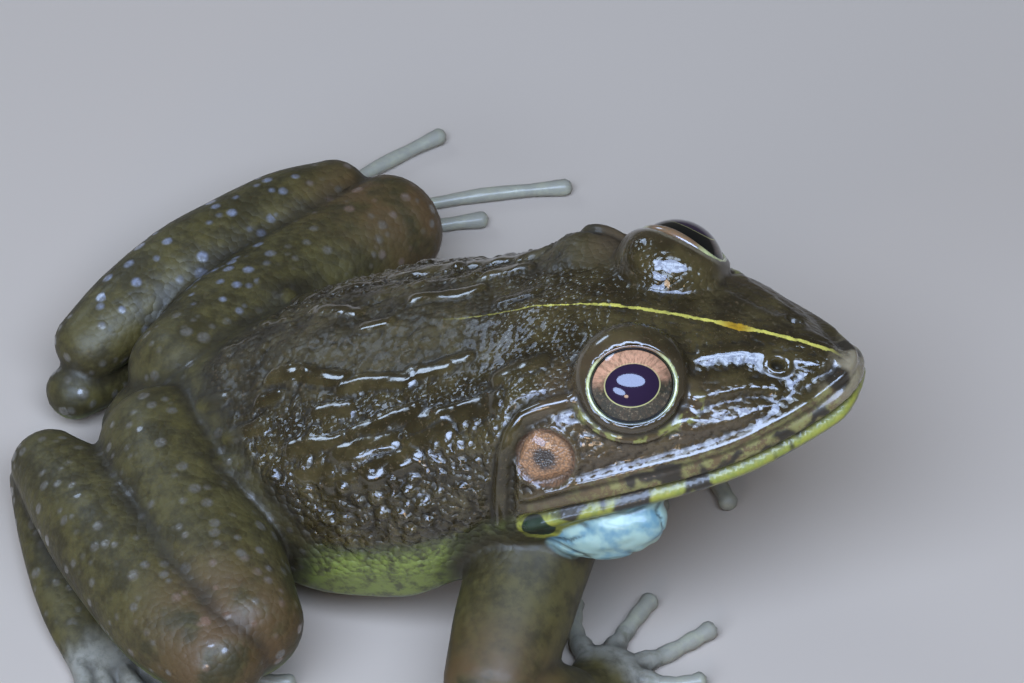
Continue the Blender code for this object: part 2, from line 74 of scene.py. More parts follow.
SNOUT_X, VENT_X = 37.2, -97
BODY_MIDDLE, BODY_HALF = (SNOUT_X + VENT_X) / 2, (SNOUT_X - VENT_X) / 2
TOP_LINE = (  # x, z along the middle of the back
    (SNOUT_X, 56.2), (36.2, 58.4), (34.5, 59.7), (31, 60.9), (22, 62), (5, 62.4), (-5, 62),
    (-11, 61), (-18, 58.6), (-27, 54.6), (-36, 50.6), (-48, 45.4), (-60, 39.8), (-70, 33.8),
    (-81, 26.5), (-90, 19), (VENT_X, 11),
)
BACK_EDGE = (  # x, y, z of the snout's ridge, then the edge of the back
    (SNOUT_X, 0, 56.2), (36.2, 2.1, 57.6), (34.5, 3.4, 58.1), (31, 4.6, 58.2), (27, 6.8, 58.5),
    (22, 9, 58.9), (14, 12.2, 59.8), (0, 15, 59.6), (-8, 18, 58), (-13, 20.2, 56.1),
    (-18, 21.4, 53.6), (-27, 20.4, 49), (-36, 21, 44.2), (-48, 22, 38.6), (-60, 21, 32.6),
    (-70, 18.5, 27), (-81, 15.5, 21), (-90, 11, 15.6), (VENT_X, 0, 11),
)
LIP_LINE = (  # x, y, z of the lip, then the widest part of the flank
    (SNOUT_X, 0, 56.2), (36.2, 4, 55), (34.5, 6.2, 54.1), (32, 8.5, 52.7), (28.5, 11.3, 51),
    (20, 17.6, 48), (7.7, 23.6, 44.8), (-5, 27, 40.6), (-13.9, 28.2, 36.6), (-20, 27.6, 32.5),
    (-27, 28.3, 28), (-36, 29.8, 24), (-48, 29.6, 20.5), (-60, 27, 18.5), (-70, 23.8, 16.5),
    (-81, 19, 14.5), (-90, 13, 12.5), (VENT_X, 0, 11),
)
LOWER_EDGE = (  # x, y, z of the jaw's lower edge, then the edge of the belly
    (SNOUT_X, 0, 56.2), (36.2, 2.4, 52.8), (34.5, 3.8, 50.8), (32, 4.9, 48.8), (28.5, 6.4, 46.2),
    (20, 10.8, 41.3), (7.7, 16, 36.6), (-5, 20, 29.6), (-13.9, 21.6, 23.4), (-20, 22.2, 18.5),
    (-27, 23.2, 14), (-36, 25.3, 9.6), (-48, 25, 7), (-60, 22.5, 5.8), (-70, 19.5, 5.2),
    (-81, 15, 5.5), (-90, 9, 7), (VENT_X, 0, 11),
)
UNDER_LINE = (  # x, z along the middle of chin, throat and belly
    (SNOUT_X, 56.2), (36.2, 52), (34.5, 49.6), (32, 47.2), (28.5, 44.4), (20, 38.4), (7.7, 31.4),
    (-5, 24.2), (-13.9, 17.5), (-20, 12.5), (-27, 7), (-36, 1.6), (-42, -0.4), (-48, -0.5),
    (-70, -0.5), (-78, -0.4), (-84, 2), (-90, 5), (VENT_X, 11),
)
SIDE_BULGE = 0.13
BODY_RINGS, SPAN_STEPS = 260, 14

# Limbs: each row is x, y, z of the bone's line, then half the width and half the height.  Here
# y runs outward on either side.
THIGH = {
    "right": ((-84, 8, 16.5, 11, 10.5), (-77, 21, 17, 12, 11.3), (-67.5, 34, 17, 12, 11.2),
              (-58.5, 46, 16, 10, 10)),
    "left": ((-84, 8, 16.5, 11, 10.5), (-78, 23, 15.5, 12, 11), (-70, 39, 14.5, 11, 10.5),
             (-60.5, 55, 14, 9.6, 9.4)),
}
SHANK = {
    "right": ((-61, 53.5, 15, 8.6, 8.4), (-71, 45.5, 15, 11.2, 9.4), (-83, 32.5, 14.8, 12, 9.2),
              (-95, 20.5, 13, 9.6, 7.6), (-103, 13, 11.5, 6.6, 6)),
    "left": ((-71, 57.5, 15.5, 7.2, 7.2), (-79, 49, 16, 8.8, 8.4), (-89, 36.5, 16, 9, 8.4),
             (-98, 24.5, 14.5, 7.8, 7.2), (-104, 15, 12, 6.2, 6)),
}
ANKLE = {
    "right": ((-105, 12, 6.4, 5, 4.6), (-100, 22, 4.4, 5.6, 4.2), (-89, 38, 3, 7.4, 3.4),
              (-83, 45, 2, 7.6, 2.2)),
    "left": ((-105, 9, 6.4, 5, 4.6), (-100, 18, 4.4, 5.6, 4.2), (-90, 33, 3, 7.4, 3.4),
             (-84, 40, 2, 7.4, 2.2)),
}
TOE_TIPS = {
    "right": ((-52, 43), (-43, 52), (-39, 66), (-40, 84), (-62, 86)),
    "left": ((-66, 51), (-57, 61), (-49.5, 73), (-37.5, 84.5), (-62, 91)),
}
TOE_BOW = (0.05, 0.08, 0.11, 0.12, 0.07)
TOE_SPREAD, TOE_HALF, TOE_TIP_HALF, TOE_Z = 2.6, (1.9, 1.25), 1.5, 1.25
WEB_REACH, WEB_HOLLOW, WEB_THICKNESS, WEB_LIFT = 0.66, 0.3, 1.1, 0.1
UPPER_ARM = {
    "right": ((-15, 18, 21.5, 10.3, 9.8), (-15.5, 32, 17, 10, 9.3), (-15.5, 45, 12.6, 8.8, 8.4)),
    "left": ((-15, 18, 21.5, 10.3, 9.8), (-17, 32, 17, 10, 9.3), (-21, 44, 12.6, 8.8, 8.4)),
}
FOREARM = {
    "right": ((-14.5, 46, 11.4, 8, 7.8), (-9, 43, 9.4, 7.8, 7), (-4, 38, 6.2, 5.4, 4.8)),
    "left": ((-21, 45.5, 11.4, 8, 7.8), (-16, 45, 9.4, 7.8, 7), (-10, 41.5, 6.2, 5.4, 4.8)),
}
PALM = {
    "right": ((-3.2, 37.2, 5, 4.8, 4.2), (-1.5, 32, 3.2, 5.6, 3.2), (0, 26.5, 2.4, 6.2, 2.5)),
    "left": ((-9.4, 40.8, 5, 4.8, 4.2), (-6.5, 36, 3.2, 5.6, 3.2), (-4, 31, 2.4, 6.2, 2.5)),
}
FINGER_TIPS = {
    "right": ((-10, 13), (2, 9), (13.5, 13), (15, 25)),
    "left": ((-12, 17), (-2, 13.5), (9, 17.5), (11.5, 29)),
}
FINGER_BOW = (-0.08, -0.03, 0.03, 0.08)
FINGER_SPREAD, FINGER_HALF, FINGER_TIP_HALF, FINGER_Z = 2.7, (2.3, 1.5), 1.7, 1.5
DIGIT_KNOTS = np.array((0, 0.3, 0.55, 0.8, 1))
KNUCKLES = (  # share of a digit's length, then how much thicker it is there
    (0, 1), (0.16, 0.95), (0.3, 1.1), (0.42, 0.9), (0.55, 1.1), (0.67, 0.88), (0.8, 1.08),
    (0.9, 0.9), (1, 1.05),
)
END_REACH = 0.8
LINE_SAMPLES = 60

SAC, SAC_HALF, SAC_PITCH = np.array((-2.5, 21.8, 32.2)), np.array((11.5, 6.3, 6.2)), 0.36
SAC_TURN = np.array((
    (math.cos(SAC_PITCH), 0, -math.sin(SAC_PITCH)), (0, 1, 0),
    (math.sin(SAC_PITCH), 0, math.cos(SAC_PITCH)),
))
EYE_AXIS = (0.18, 0.68, 0.71)
EYE_RADIUS = 8.2
EYE_TILT = math.radians(6)  # the eye's long axis rises towards the snout
OPENING = (7.1, 6.25)  # half length and half height of the gap between the lids
SOCKET = 9
VOXEL = 0.46
MOST_TRIANGLES = 192000
SIDES = "left", "right"


def place(points):
    """Frog millimetres to world metres."""
    return (np.asarray(points, float) + HOME) * MM


def flip(rows, side):
    """Points, directions or limb rows of the frog's left, or the same ones on its right."""
    rows = np.array(rows, float)
    rows[..., 1] *= 1 if side == "left" else -1
    return rows


def length_of(vectors):
    """The length of each vector."""
    return np.linalg.norm(vectors, axis=-1)


def unit(vectors):
    """Each vector drawn to a length of 1."""
    return np.asarray(vectors) / np.linalg.norm(vectors, axis=-1, keepdims=True)


def whole_turn(steps):
    """Angles at equal steps once round."""
    return np.linspace(0, 2 * math.pi, steps, endpoint=False)


def ease(low, high, value):
    """0 at low, 1 at high, and the cubic 3t^2 - 2t^3 between them."""
    t = np.clip((value - low) / (high - low), 0, 1)
    return t * t * (3 - 2 * t)


def hump(distance, reach):
    """1 at the middle, falling as (1 - (d/r)^2)^2 to 0 at reach."""
    return np.clip(1 - (distance / reach) ** 2, 0, 1) ** 2


def smooth_through(known, values, wanted):
    """Cubic curve through rising knots that never overshoots them."""
    known, values = np.asarray(known, float), np.asarray(values, float)
    width = np.diff(known)
    slope = np.diff(values) / width
    turning = slope[:-1] * slope[1:] <= 0
    before, after = 2 * width[1:] + width[:-1], width[1:] + 2 * width[:-1]
    with np.errstate(divide="ignore", invalid="ignore"):
        mean = (before + after) / (before / slope[:-1] + after / slope[1:])
    tangent = np.concatenate([[slope[0]], np.where(turning, 0, mean), [slope[-1]]])
    index = np.clip(np.searchsorted(known, wanted) - 1, 0, len(width) - 1)
    h = width[index]
    t = (wanted - known[index]) / h
    return (
        values[index] * (1 + 2 * t) * (1 - t) ** 2
        + values[index + 1] * t * t * (3 - 2 * t)
        + tangent[index] * h * t * (1 - t) ** 2
        - tangent[index + 1] * h * t * t * (1 - t)
    )


def rows_at(known, rows, wanted):
    """Each column of rows, by smooth_through."""
    return np.stack([smooth_through(known, column, wanted) for column in rows.T], -1)


def along_body(x):
    """An angle that runs 0 at the snout to pi at the vent, so both ends come out round."""
    return np.arccos(np.clip((np.asarray(x, float) - BODY_MIDDLE) / BODY_HALF, -1, 1))


def line_at(line, x):
    """One of the body's lines at each x: its other columns."""
    rows = np.array(line, float)
    return rows_at(along_body(rows[:, 0]), rows[:, 1:], along_body(x))


def body_rings(x):
    """A closed ring at each x: a Catmull-Rom curve through the body's lines, its sides bulged."""
    zero = np.zeros_like(x)
    top, under = (np.column_stack([zero, line_at(line, x)]) for line in (TOP_LINE, UNDER_LINE))
    edge, lip, lower = (line_at(line, x) for line in (BACK_EDGE, LIP_LINE, LOWER_EDGE))

    def bulged(a, b):
        """The middle of a side, moved outward by a share of the side's length."""
        out = np.stack([-(b - a)[:, 1], (b - a)[:, 0]], -1)
        return (a + b) / 2 + out * SIDE_BULGE

    mirrored = (-1, 1)
    knots = [edge * mirrored, top, edge, bulged(edge, lip), lip, bulged(lip, lower), lower, under]
    knots = np.stack([*knots, lower * mirrored])[:, :, None]
    t = (np.arange(SPAN_STEPS) / SPAN_STEPS)[None, :, None]
    spans = [
        0.5 * (2 * p1 + (p2 - p0) * t + (2 * p0 - 5 * p1 + 4 * p2 - p3) * t * t
               + (3 * p1 - p0 - 3 * p2 + p3) * t ** 3)
        for p0, p1, p2, p3 in zip(knots, knots[1:], knots[2:], knots[3:])
    ]
    half = np.concatenate([*spans, under[:, None]], 1)
    ring = np.concatenate([half, half[:, -2:0:-1] * mirrored], 1)
    return np.concatenate([np.broadcast_to(x[:, None, None], (*ring.shape[:2], 1)), ring], -1)


def closed_tube(rings, start, end):
    """Points and outward triangles of rings of equal count, with a point at each end."""
    count, around = rings.shape[:2]
    grid = np.arange(count * around).reshape(count, around)
    beside = np.roll(grid, -1, 1)
    first, last = np.full(around, count * around), np.full(around, count * around + 1)
    corners = (
        (grid[:-1], beside[:-1], beside[1:]), (grid[:-1], beside[1:], grid[1:]),
        (beside[0], grid[0], first), (grid[-1], beside[-1], last),
    )
    points = np.concatenate([rings.reshape(-1, 3), [start], [end]])
    triangles = np.concatenate([np.stack(part, -1).reshape(-1, 3) for part in corners])
    a, b, c = (points[triangles[:, k]] for k in range(3))
    if np.einsum("ij,ij->", a, np.cross(b, c)) < 0:
        triangles = triangles[:, ::-1]
    return points, triangles


def limb_line(rows, places):
    """Middle, forward, sideways and upward directions, and half sizes, at places along a limb."""
    rows = np.array(rows, float)
    knots = np.concatenate([[0], np.cumsum(length_of(np.diff(rows[:, :3], axis=0)))])
    inside = np.clip(places, 0, knots[-1])
    line = rows_at(knots, rows[:, :3], inside)
    samples = np.linspace(0, knots[-1], LINE_SAMPLES)
    slopes = np.gradient(rows_at(knots, rows[:, :3], samples), axis=0)
    tangent = unit(np.stack([np.interp(inside, samples, slopes[:, k]) for k in range(3)], -1))
    line = line + tangent * (places - inside)[:, None]
    side = unit(np.cross(tangent, (0, 0, 1)))
    return line, tangent, side, np.cross(side, tangent), rows_at(knots, rows[:, 3:], inside).T


def tube(rows, rings=70, around=48):
    """A tapering limb along the rows' line: an oval carried along it, rounded off at both ends."""
    rows = np.array(rows, float)
    length = length_of(np.diff(rows[:, :3], axis=0)).sum()
    nose, tail = rows[0, 3] * END_REACH, rows[-1, 3] * END_REACH
    total = length + nose + tail
    places = total * (1 - np.cos(np.linspace(0, math.pi, rings + 2))) / 2
    line, _, side, up, (width, height) = limb_line(rows, places - nose)
    from_ends = np.minimum(places / nose, (total - places) / tail)
    taper = np.sqrt(np.clip(1 - (1 - np.minimum(from_ends, 1)) ** 2, 0, 1))
    turn = whole_turn(around)
    ring = (
        line[:, None]
        + side[:, None] * ((width * taper)[:, None] * np.cos(turn))[..., None]
        + up[:, None] * ((height * taper)[:, None] * np.sin(turn))[..., None]
    )
    return closed_tube(ring[1:-1], line[0], line[-1])


def digits(bases, all_tips, side, bows, spread, height, half, tip_half):
    """Rows of the digits that fan out from the end of a palm or ankle, each with a slight bow."""
    base, tips = np.array(bases[side], float), all_tips[side]
    end, heading = base[-1, :2], base[-1, :2] - base[-2, :2]
    heading = unit(heading)
    across = np.array([heading[1], -heading[0]])
    if across @ (np.array(tips[0]) - np.array(tips[-1])) < 0:
        across = -across
    thick = np.array((half[0], (half[0] + half[1]) / 2, half[1], half[1], tip_half))
    made = []
    for k, (tip, bow) in enumerate(zip(tips, bows)):
        root = end + across * spread * ((len(tips) - 1) / 2 - k)
        reach = np.array(tip) - root
        sway = np.array([-reach[1], reach[0]]) * bow * np.sin(math.pi * DIGIT_KNOTS)[:, None]
        flat = root + reach * DIGIT_KNOTS[:, None] + sway
        rows = np.column_stack([flat, np.maximum(height, thick * 0.92), thick, thick])
        made.append(flip(rows, side))
    return made


def knuckled(rows):
    """A digit's rows drawn closer, thicker at its joints and thinner between them."""
    share, thicker = np.array(KNUCKLES).T
    drawn = rows_at(DIGIT_KNOTS, rows, share)
    drawn[:, 3:] *= thicker[:, None]
    return drawn


def web(first, second, across=15, lengthwise=40):
    """A thin closed sheet between two toes: their lines joined straight, its free edge hollow."""
    a, s = np.linspace(0, 1, across)[None, :], np.linspace(0, 1, lengthwise)[:, None]
    reach = s * WEB_REACH * (1 - WEB_HOLLOW * 4 * a * (1 - a))
    near, far = (rows_at(DIGIT_KNOTS, toe[:, :2], reach) for toe in (first, second))
    flat = near * (1 - a[..., None]) + far * a[..., None]
    low = np.concatenate([flat, np.full((*flat.shape[:2], 1), WEB_LIFT)], -1)
    high = low + (0, 0, WEB_THICKNESS)
    ring = np.concatenate([low, high[:, ::-1]], 1)
    return closed_tube(ring, ring[0].mean(0), ring[-1].mean(0))


def eye_frame(side):
    """Middle, outward axis, forward axis and upward axis of an eye."""
    axis = unit(flip(EYE_AXIS, side))
    level = np.cross(axis, (0, 0, 1))
    level *= np.sign(level[0]) / np.linalg.norm(level)
    up = np.cross(axis, level)
    up *= np.sign(up[2])
    forward = level * math.cos(EYE_TILT) + up * math.sin(EYE_TILT)
    return flip(EYE, side), axis, forward, up * math.cos(EYE_TILT) - level * math.sin(EYE_TILT)


def lid_angle(turn):
    """How far the lids' edge lies from the eye's axis, at an angle round it."""
    reach = 1 / np.hypot(np.cos(turn) / OPENING[0], np.sin(turn) / OPENING[1])
    return np.arcsin(reach / EYE_RADIUS)


LID_PROFILE = (  # angle past the lid's edge, then distance from the eye's middle
    (0, 8.32), (0, 8.6), (0.06, 8.85), (0.14, 9.15), (0.26, 9.55), (0.42, 9.95),
    (0.62, 10.2), (0.95, 10.3),
)
UPPER_LID_EXTRA = 0.45
LID_STEPS, POCKET_RINGS, LID_RINGS, LID_REST = 120, 40, 60, 0.97  # LID_REST: how far back they go


def around_eye(side, reach, angle, turn):
    """Points at a reach from an eye's middle, at an angle from its axis and a turn about it."""
    middle, axis, forward, up = eye_frame(side)
    return middle + np.asarray(reach)[..., None] * (
        axis * np.cos(angle)[..., None]
        + forward * (np.sin(angle) * np.cos(turn))[..., None]
        + up * (np.sin(angle) * np.sin(turn))[..., None]
    )


def lid_cup(side):
    """A thick cup round the eye: the pocket's ball, then a ball drawn in to the lids' edge."""
    middle, axis, _, _ = eye_frame(side)
    turn = whole_turn(LID_STEPS)[None]
    edge = lid_angle(turn)
    profile = np.array(LID_PROFILE)
    inner = edge + (math.pi - edge) * np.linspace(LID_REST, 0, POCKET_RINGS)[:, None]
    outer = edge + (math.pi - edge) * np.linspace(0, LID_REST, LID_RINGS)[:, None] ** 1.6
    reach = np.interp(outer - edge, profile[1:, 0], profile[1:, 1])
    reach = reach + UPPER_LID_EXTRA * ease(0, 0.3, outer - edge) * np.clip(np.sin(turn), 0, 1)
    angle = np.concatenate([inner, outer])
    reach = np.concatenate([np.full_like(inner, profile[0, 1]), reach])
    ring = around_eye(side, reach, angle, turn)
    return closed_tube(ring, middle - axis * profile[0, 1], middle - axis * profile[-1, 1])


def dented(points, side):
    """Points in front of an eye's socket, pushed back along its axis onto the socket's far half."""
    middle, axis, _, _ = eye_frame(side)
    offset = points - middle
    height = offset @ axis
    radius = length_of(offset - height[..., None] * axis)
    floor = -np.sqrt(np.clip(SOCKET ** 2 - radius ** 2, 0, None))
    push = np.where((radius < SOCKET) & (height > floor), height - floor, 0)
    return points - push[..., None] * axis


def pouch(side):
    """The resting vocal sac: a long ball, pitched nose up."""
    middle = flip(SAC, side)
    bend = np.linspace(0, math.pi, 40)[1:-1, None]
    turn = whole_turn(48)[None]
    shape = np.stack(
        [np.cos(bend) + 0 * turn, np.sin(bend) * np.cos(turn), np.sin(bend) * np.sin(turn)], -1
    )
    tip = SAC_TURN @ (SAC_HALF * (1, 0, 0))
    return closed_tube(middle + (shape * SAC_HALF) @ SAC_TURN.T, middle + tip, middle - tip)


body = body_rings(BODY_MIDDLE + BODY_HALF * np.cos(np.linspace(0, math.pi, BODY_RINGS)[1:-1]))
for side in SIDES:
    body = dented(body, side)
shapes = [closed_tube(body, (SNOUT_X, 0, TOP_LINE[0][1]), (VENT_X, 0, TOP_LINE[-1][1]))]
limb_rows, digit_rows = [], []
for side in SIDES:
    shapes += [lid_cup(side), pouch(side)]
    legs = [flip(part[side], side) for part in (THIGH, SHANK, ANKLE, UPPER_ARM, FOREARM, PALM)]
    limb_rows += legs
    toes = digits(ANKLE, TOE_TIPS, side, TOE_BOW, TOE_SPREAD, TOE_Z, TOE_HALF, TOE_TIP_HALF)
    fingers = digits(
        PALM, FINGER_TIPS, side, FINGER_BOW, FINGER_SPREAD, FINGER_Z, FINGER_HALF, FINGER_TIP_HALF
    )
    digit_rows += toes + fingers
    shapes += [tube(rows) for rows in legs]
    shapes += [tube(knuckled(rows), 60, 24) for rows in toes + fingers]
    shapes += [web(first, second) for first, second in zip(toes, toes[1:])]


def shown(name, data):
    """An object at the origin that shows a mesh, a light or a camera."""
    made = bpy.data.objects.new(name, data)
    bpy.context.scene.collection.objects.link(made)
    return made


def add_mesh(name, points, faces):
    """A smooth-shaded mesh object at the origin, from frog millimetres."""
    mesh = bpy.data.meshes.new(name)
    mesh.from_pydata(place(points).tolist(), [], faces.tolist())
    mesh.shade_smooth()
    return shown(name, mesh)


def with_modifiers(thing, name):
    """A new mesh object holding what thing's modifiers make of it; thing is removed."""
    bpy.context.view_layer.update()
    depsgraph = bpy.context.evaluated_depsgraph_get()
    mesh = bpy.data.meshes.new_from_object(
        thing.evaluated_get(depsgraph), preserve_all_data_layers=True, depsgraph=depsgraph
    )
    bpy.data.objects.remove(thing)
    mesh.name = name
    return shown(name, mesh)


counts = np.cumsum([0] + [len(points) for points, _ in shapes])
raw = add_mesh(
    "raw_skin",
    np.concatenate([points for points, _ in shapes]),
    np.concatenate([triangles + start for (_, triangles), start in zip(shapes, counts)]),
)
melt = raw.modifiers.new("melt", "REMESH")
melt.mode = "VOXEL"
melt.voxel_size = VOXEL * MM
melted = with_modifiers(raw, "melted_skin")


def read_out(items, name, each, kind, width):
    """A property of a mesh's items, so many numbers each, as an array of rows of a width."""
    values = np.zeros(len(items) * each, kind)
    items.foreach_get(name, values)
    return values.reshape(-1, width)


skin_mesh = melted.data
p = read_out(skin_mesh.vertices, "co", 3, float, 3) / MM - HOME
edges = read_out(skin_mesh.edges, "vertices", 2, int, 2)
quads = read_out(skin_mesh.loops, "vertex_index", 1, int, 4)
count = len(p)
linked = np.bincount(edges.ravel(), minlength=count)


def gathered(index, values):
    """The rows of values summed at the point that index gives for each."""
    return np.stack([np.bincount(index, column, count) for column in values.T], -1)


def neighbour_mean(values):
    """The mean of each point's neighbours along the mesh's edges."""
    a, b = edges.T
    return (gathered(a, values[b]) + gathered(b, values[a])) / linked[:, None]


def relaxed(values, weight, turns):
    """Values drawn halfway towards their neighbours' mean, times weight, turns times over."""
    for _ in range(turns):
        values = values + (neighbour_mean(values) - values) * (0.5 * weight)[:, None]
    return values


def evened(points, weight, turns):
    """Points drawn in and then pushed out a little more, turns times over: only bumps go."""
    for _ in range(turns):
        points = relaxed(relaxed(points, 1.2 * weight, 1), -1.25 * weight, 1)
    return points


def outward(points):
    """Unit normals: the sum of the cross products of the diagonals of the quads at each point."""
    a, b, c, d = (points[quads[:, k]] for k in range(4))
    cross = np.cross(c - a, d - b)
    return unit(sum(gathered(corner, cross) for corner in quads.T))


def nearness(points, row_sets):
    """Distance to the nearest limb's line, in that limb's half widths there."""
    best = np.full(len(points), FAR)
    for rows in row_sets:
        length = length_of(np.diff(rows[:, :3], axis=0)).sum()
        line, _, _, _, (width, height) = limb_line(rows, np.linspace(0, length, 24))
        reach = np.maximum(width, height)
        box = (line.min(0) - 2 * reach.max(), line.max(0) + 2 * reach.max())
        near = np.flatnonzero(((points > box[0]) & (points < box[1])).all(1))
        apart = length_of(points[near, None] - line[None]) / reach
        best[near] = np.minimum(best[near], apart.min(1))
    return best


def most(*shares):
    """The largest of several shares at each point."""
    return np.max(shares, axis=0)


SOFTEN_TURNS, LID_TURNS, JOINT_TURNS, FACE_TURNS = 14, 12, 60, 8
limb = ease(1.55, 1.12, nearness(p, limb_rows))
digit = ease(1.9, 1.15, nearness(p, digit_rows))
digit = most(digit, ease(2.6, 1.6, p[:, 2]) * (np.abs(p[:, 1]) > 40))  # the webs lie low, far out
eye_near = np.minimum(*(length_of(p - flip(EYE, side)) for side in SIDES))
softness = (1 - 0.85 * digit) * (1 - 0.6 * ease(11.5, 9.5, eye_near))
p = relaxed(p, softness, SOFTEN_TURNS)
p = evened(p, ease(13, 11.5, eye_near), LID_TURNS)
p = relaxed(p, 4 * limb * (1 - limb) * softness, JOINT_TURNS)
p[:, 2] = np.maximum(p[:, 2], 0)
n = outward(p)


def scatter(cells, salt):
    """A random share from 0 to 1 for each whole-number cell: its numbers multiplied and folded."""
    mixed = cells[..., 0] * 374761393 + cells[..., 1] * 668265263
    mixed = mixed + cells[..., 2] * 1103515245 + salt * 97531
    mixed = mixed & 0xFFFFFFFF
    mixed = ((mixed ^ (mixed >> 13)) * 1274126177) & 0xFFFFFFFF
    return (mixed ^ (mixed >> 16)) / 4294967296.0


def pebbles(points, size, salt):
    """Distance, in cube sizes, to the nearest of pebbles strewn one to a cube, and its share."""
    q = points / size
    base = np.floor(q).astype(np.int64)
    best, share = np.full(len(q), FAR), np.zeros(len(q))
    for step in np.ndindex(3, 3, 3):
        cell = base + np.array(step) - 1
        spot = cell + np.stack([scatter(cell, salt + k) for k in range(3)], -1)
        apart = length_of(q - spot)
        closer = apart < best
        best = np.where(closer, apart, best)
        share = np.where(closer, scatter(cell, salt + 3), share)
    return best, share


def clouds(points, size, salt):
    """Smooth noise from 0 to 1: random corners of a lattice of a given size, eased between."""
    q = points / size
    base = np.floor(q).astype(np.int64)
    t = q - base
    t = t * t * (3 - 2 * t)
    total = np.zeros(len(q))
    for step in np.ndindex(2, 2, 2):
        corner = np.array(step)
        weight = np.prod(np.where(corner, t, 1 - t), axis=1)
        total += weight * scatter(base + corner, salt)
    return total


def stirred(points, size, *salts):
    """One column of clouds, less a half, for each salt."""
    return np.stack([clouds(points, size, salt) for salt in salts], -1) - 0.5


def path_distance(points, path):
    """Distance from each point to a line of straight pieces, and the share of its length there."""
    path = np.asarray(path, float)
    steps = np.diff(path, axis=0)
    lengths = length_of(steps)
    begun = np.concatenate([[0], np.cumsum(lengths)])
    best, share = np.full(len(points), np.inf), np.zeros(len(points))
    for start, step, length, before in zip(path, steps, lengths, begun):
        t = np.clip((points - start) @ step / length ** 2, 0, 1)
        apart = length_of(points - start - t[:, None] * step)
        closer = apart < best
        best = np.where(closer, apart, best)
        share = np.where(closer, (before + t * length) / begun[-1], share)
    return best, share


# Where things are: m is every point as if it were on the frog's left, lip the height over the
# mouth's line, and each of the others a share from 0 to 1.
x, y, z = p.T
m = np.column_stack([x, np.abs(y), z])
span = m[:, 1]
lip = z - line_at(LIP_LINE, np.clip(x, VENT_X + 0.1, SNOUT_X - 0.02))[:, 1]
head = ease(-17, -13.5, x) * ease(31.5, 30, span) * ease(0.75, 0.35, most(limb, digit))
mouth = head * ease(38, 34, x)
dorsal = ease(-3, 3, lip)
trunk = (1 - limb) * (1 - digit) * ease(-13, -20, x)


def away(middle, half=1):
    """Distance of each point from a place or its mirror image, in half sizes of an oval."""
    return length_of((m - middle) / half)


EAR_SHIFT, EAR_RADIUS, EAR_DEPTH = (0.3, 0, 1), 5.4, 4
ear_low, ear_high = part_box("eardrum_left")
ear_middle = (np.array(ear_low) + np.array(ear_high)) / 2 / MM - HOME + EAR_SHIFT
ear_index = np.argmin(length_of(p - ear_middle))
ear_out = n[ear_index]
ear_offset = m - p[ear_index]
ear_depth = ear_offset @ ear_out
ear = length_of(ear_offset - ear_depth[:, None] * ear_out) / EAR_RADIUS
ear = np.where(np.abs(ear_depth) < EAR_DEPTH, ear, FAR)

FOLD = (  # the fold from behind the eye, over the eardrum and down to the arm
    (-8.5, 19.2, 57.6), (-12.9, 20.7, 55.9), (-16.4, 22, 53.7), (-18.4, 24, 51.4),
    (-19.3, 26, 47.6), (-19.4, 27.6, 41.5), (-19.2, 28, 36), (-19, 27.8, 31.5),
)
fold, fold_share = path_distance(m, FOLD)
in_front_of_fold = x + 19.3 + 1.1 * np.clip(54.5 - z, -9, 0) > 0

NOSTRIL, NOSTRIL_SQUEEZE = (22.9, 5.3, 60.4), (0.82, 1.1, 1.1)
nostril_index = np.argmin(length_of(p - NOSTRIL))
nostril = length_of((m - p[nostril_index]) * NOSTRIL_SQUEEZE)

LID_REACH, LID_INSIDE, NO_LID = 13, -3, 30.0
lid_edge = np.full(count, NO_LID)
lid_turn = np.zeros(count)
for side in SIDES:
    middle, axis, forward, up = eye_frame(side)
    offset = p - middle
    reach = length_of(offset)
    turn = np.arctan2(offset @ up, offset @ forward)
    angle = np.arccos(np.clip(offset @ axis / reach, -1, 1))
    past = (angle - lid_angle(turn)) * reach
    near = (reach < LID_REACH) & (past > LID_INSIDE)
    lid_edge = np.where(near, np.minimum(past, NO_LID), lid_edge)
    lid_turn = np.where(near, turn, lid_turn)
sac = length_of((m - SAC) @ SAC_TURN / SAC_HALF)

# How far the surface rises, in millimetres, and how much painted shade each point gets in creases,
# grooves and hollows.
LIP_ROLLS = (  # height of each rounded lip, then where it begins, is full, stays full, has ended
    (0.35, 0.1, 1, 2.2, 3.6), (0.85, -0.1, -1.3, -2.6, -4.8),
)
LIP_FOLDS = (  # height of each fold or groove along the lips, its level, and its reach
    (0.75, 4.9, 1.25), (-0.35, 7, 1.4), (-1, -0.1, 1), (-0.3, -3.4, 0.9),
)
FACE_FOLDS = (  # height, reach and line of the soft folds and hollows of eye, nostril and lip
    (0.60, 1.9, ((10.6, 7.4, 61.4), (12.6, 6.2, 61.6), (16.5, 4.7, 61.7), (20.2, 4.1, 61.3))),
    (0.35, 1.6, ((24.7, 3.5, 60.9), (27.4, 3.2, 60.4), (30.4, 3, 59.6))),
    (-0.40, 2.2, ((10, 10.6, 60.7), (13.4, 9.1, 60.8), (17.3, 7.6, 60.8), (20.3, 7.7, 60))),
    (0.40, 1.8, ((10.1, 14.6, 58.9), (12.2, 14.4, 58.7), (15.9, 12.2, 59.2), (19.7, 10, 59.2),
                 (23.7, 8.8, 58.4))),
    (-0.50, 1.7, ((9.7, 16.6, 58), (11.6, 16.4, 57.4), (14.8, 14.6, 58), (18.3, 12.5, 58.2),
                  (22.5, 10.4, 57.8))),
    (0.40, 2.2, ((10.5, 18.6, 55.3), (15.4, 16.8, 55.4), (20, 14.5, 55.4), (24.5, 11.7, 55.7),
                 (28.1, 8.7, 56.6))),
)
FAR_FACE = 0.5  # the folds are half as high on the frog's left
MOUTH_LEVEL, MOUTH_REACH = -0.1, 0.8
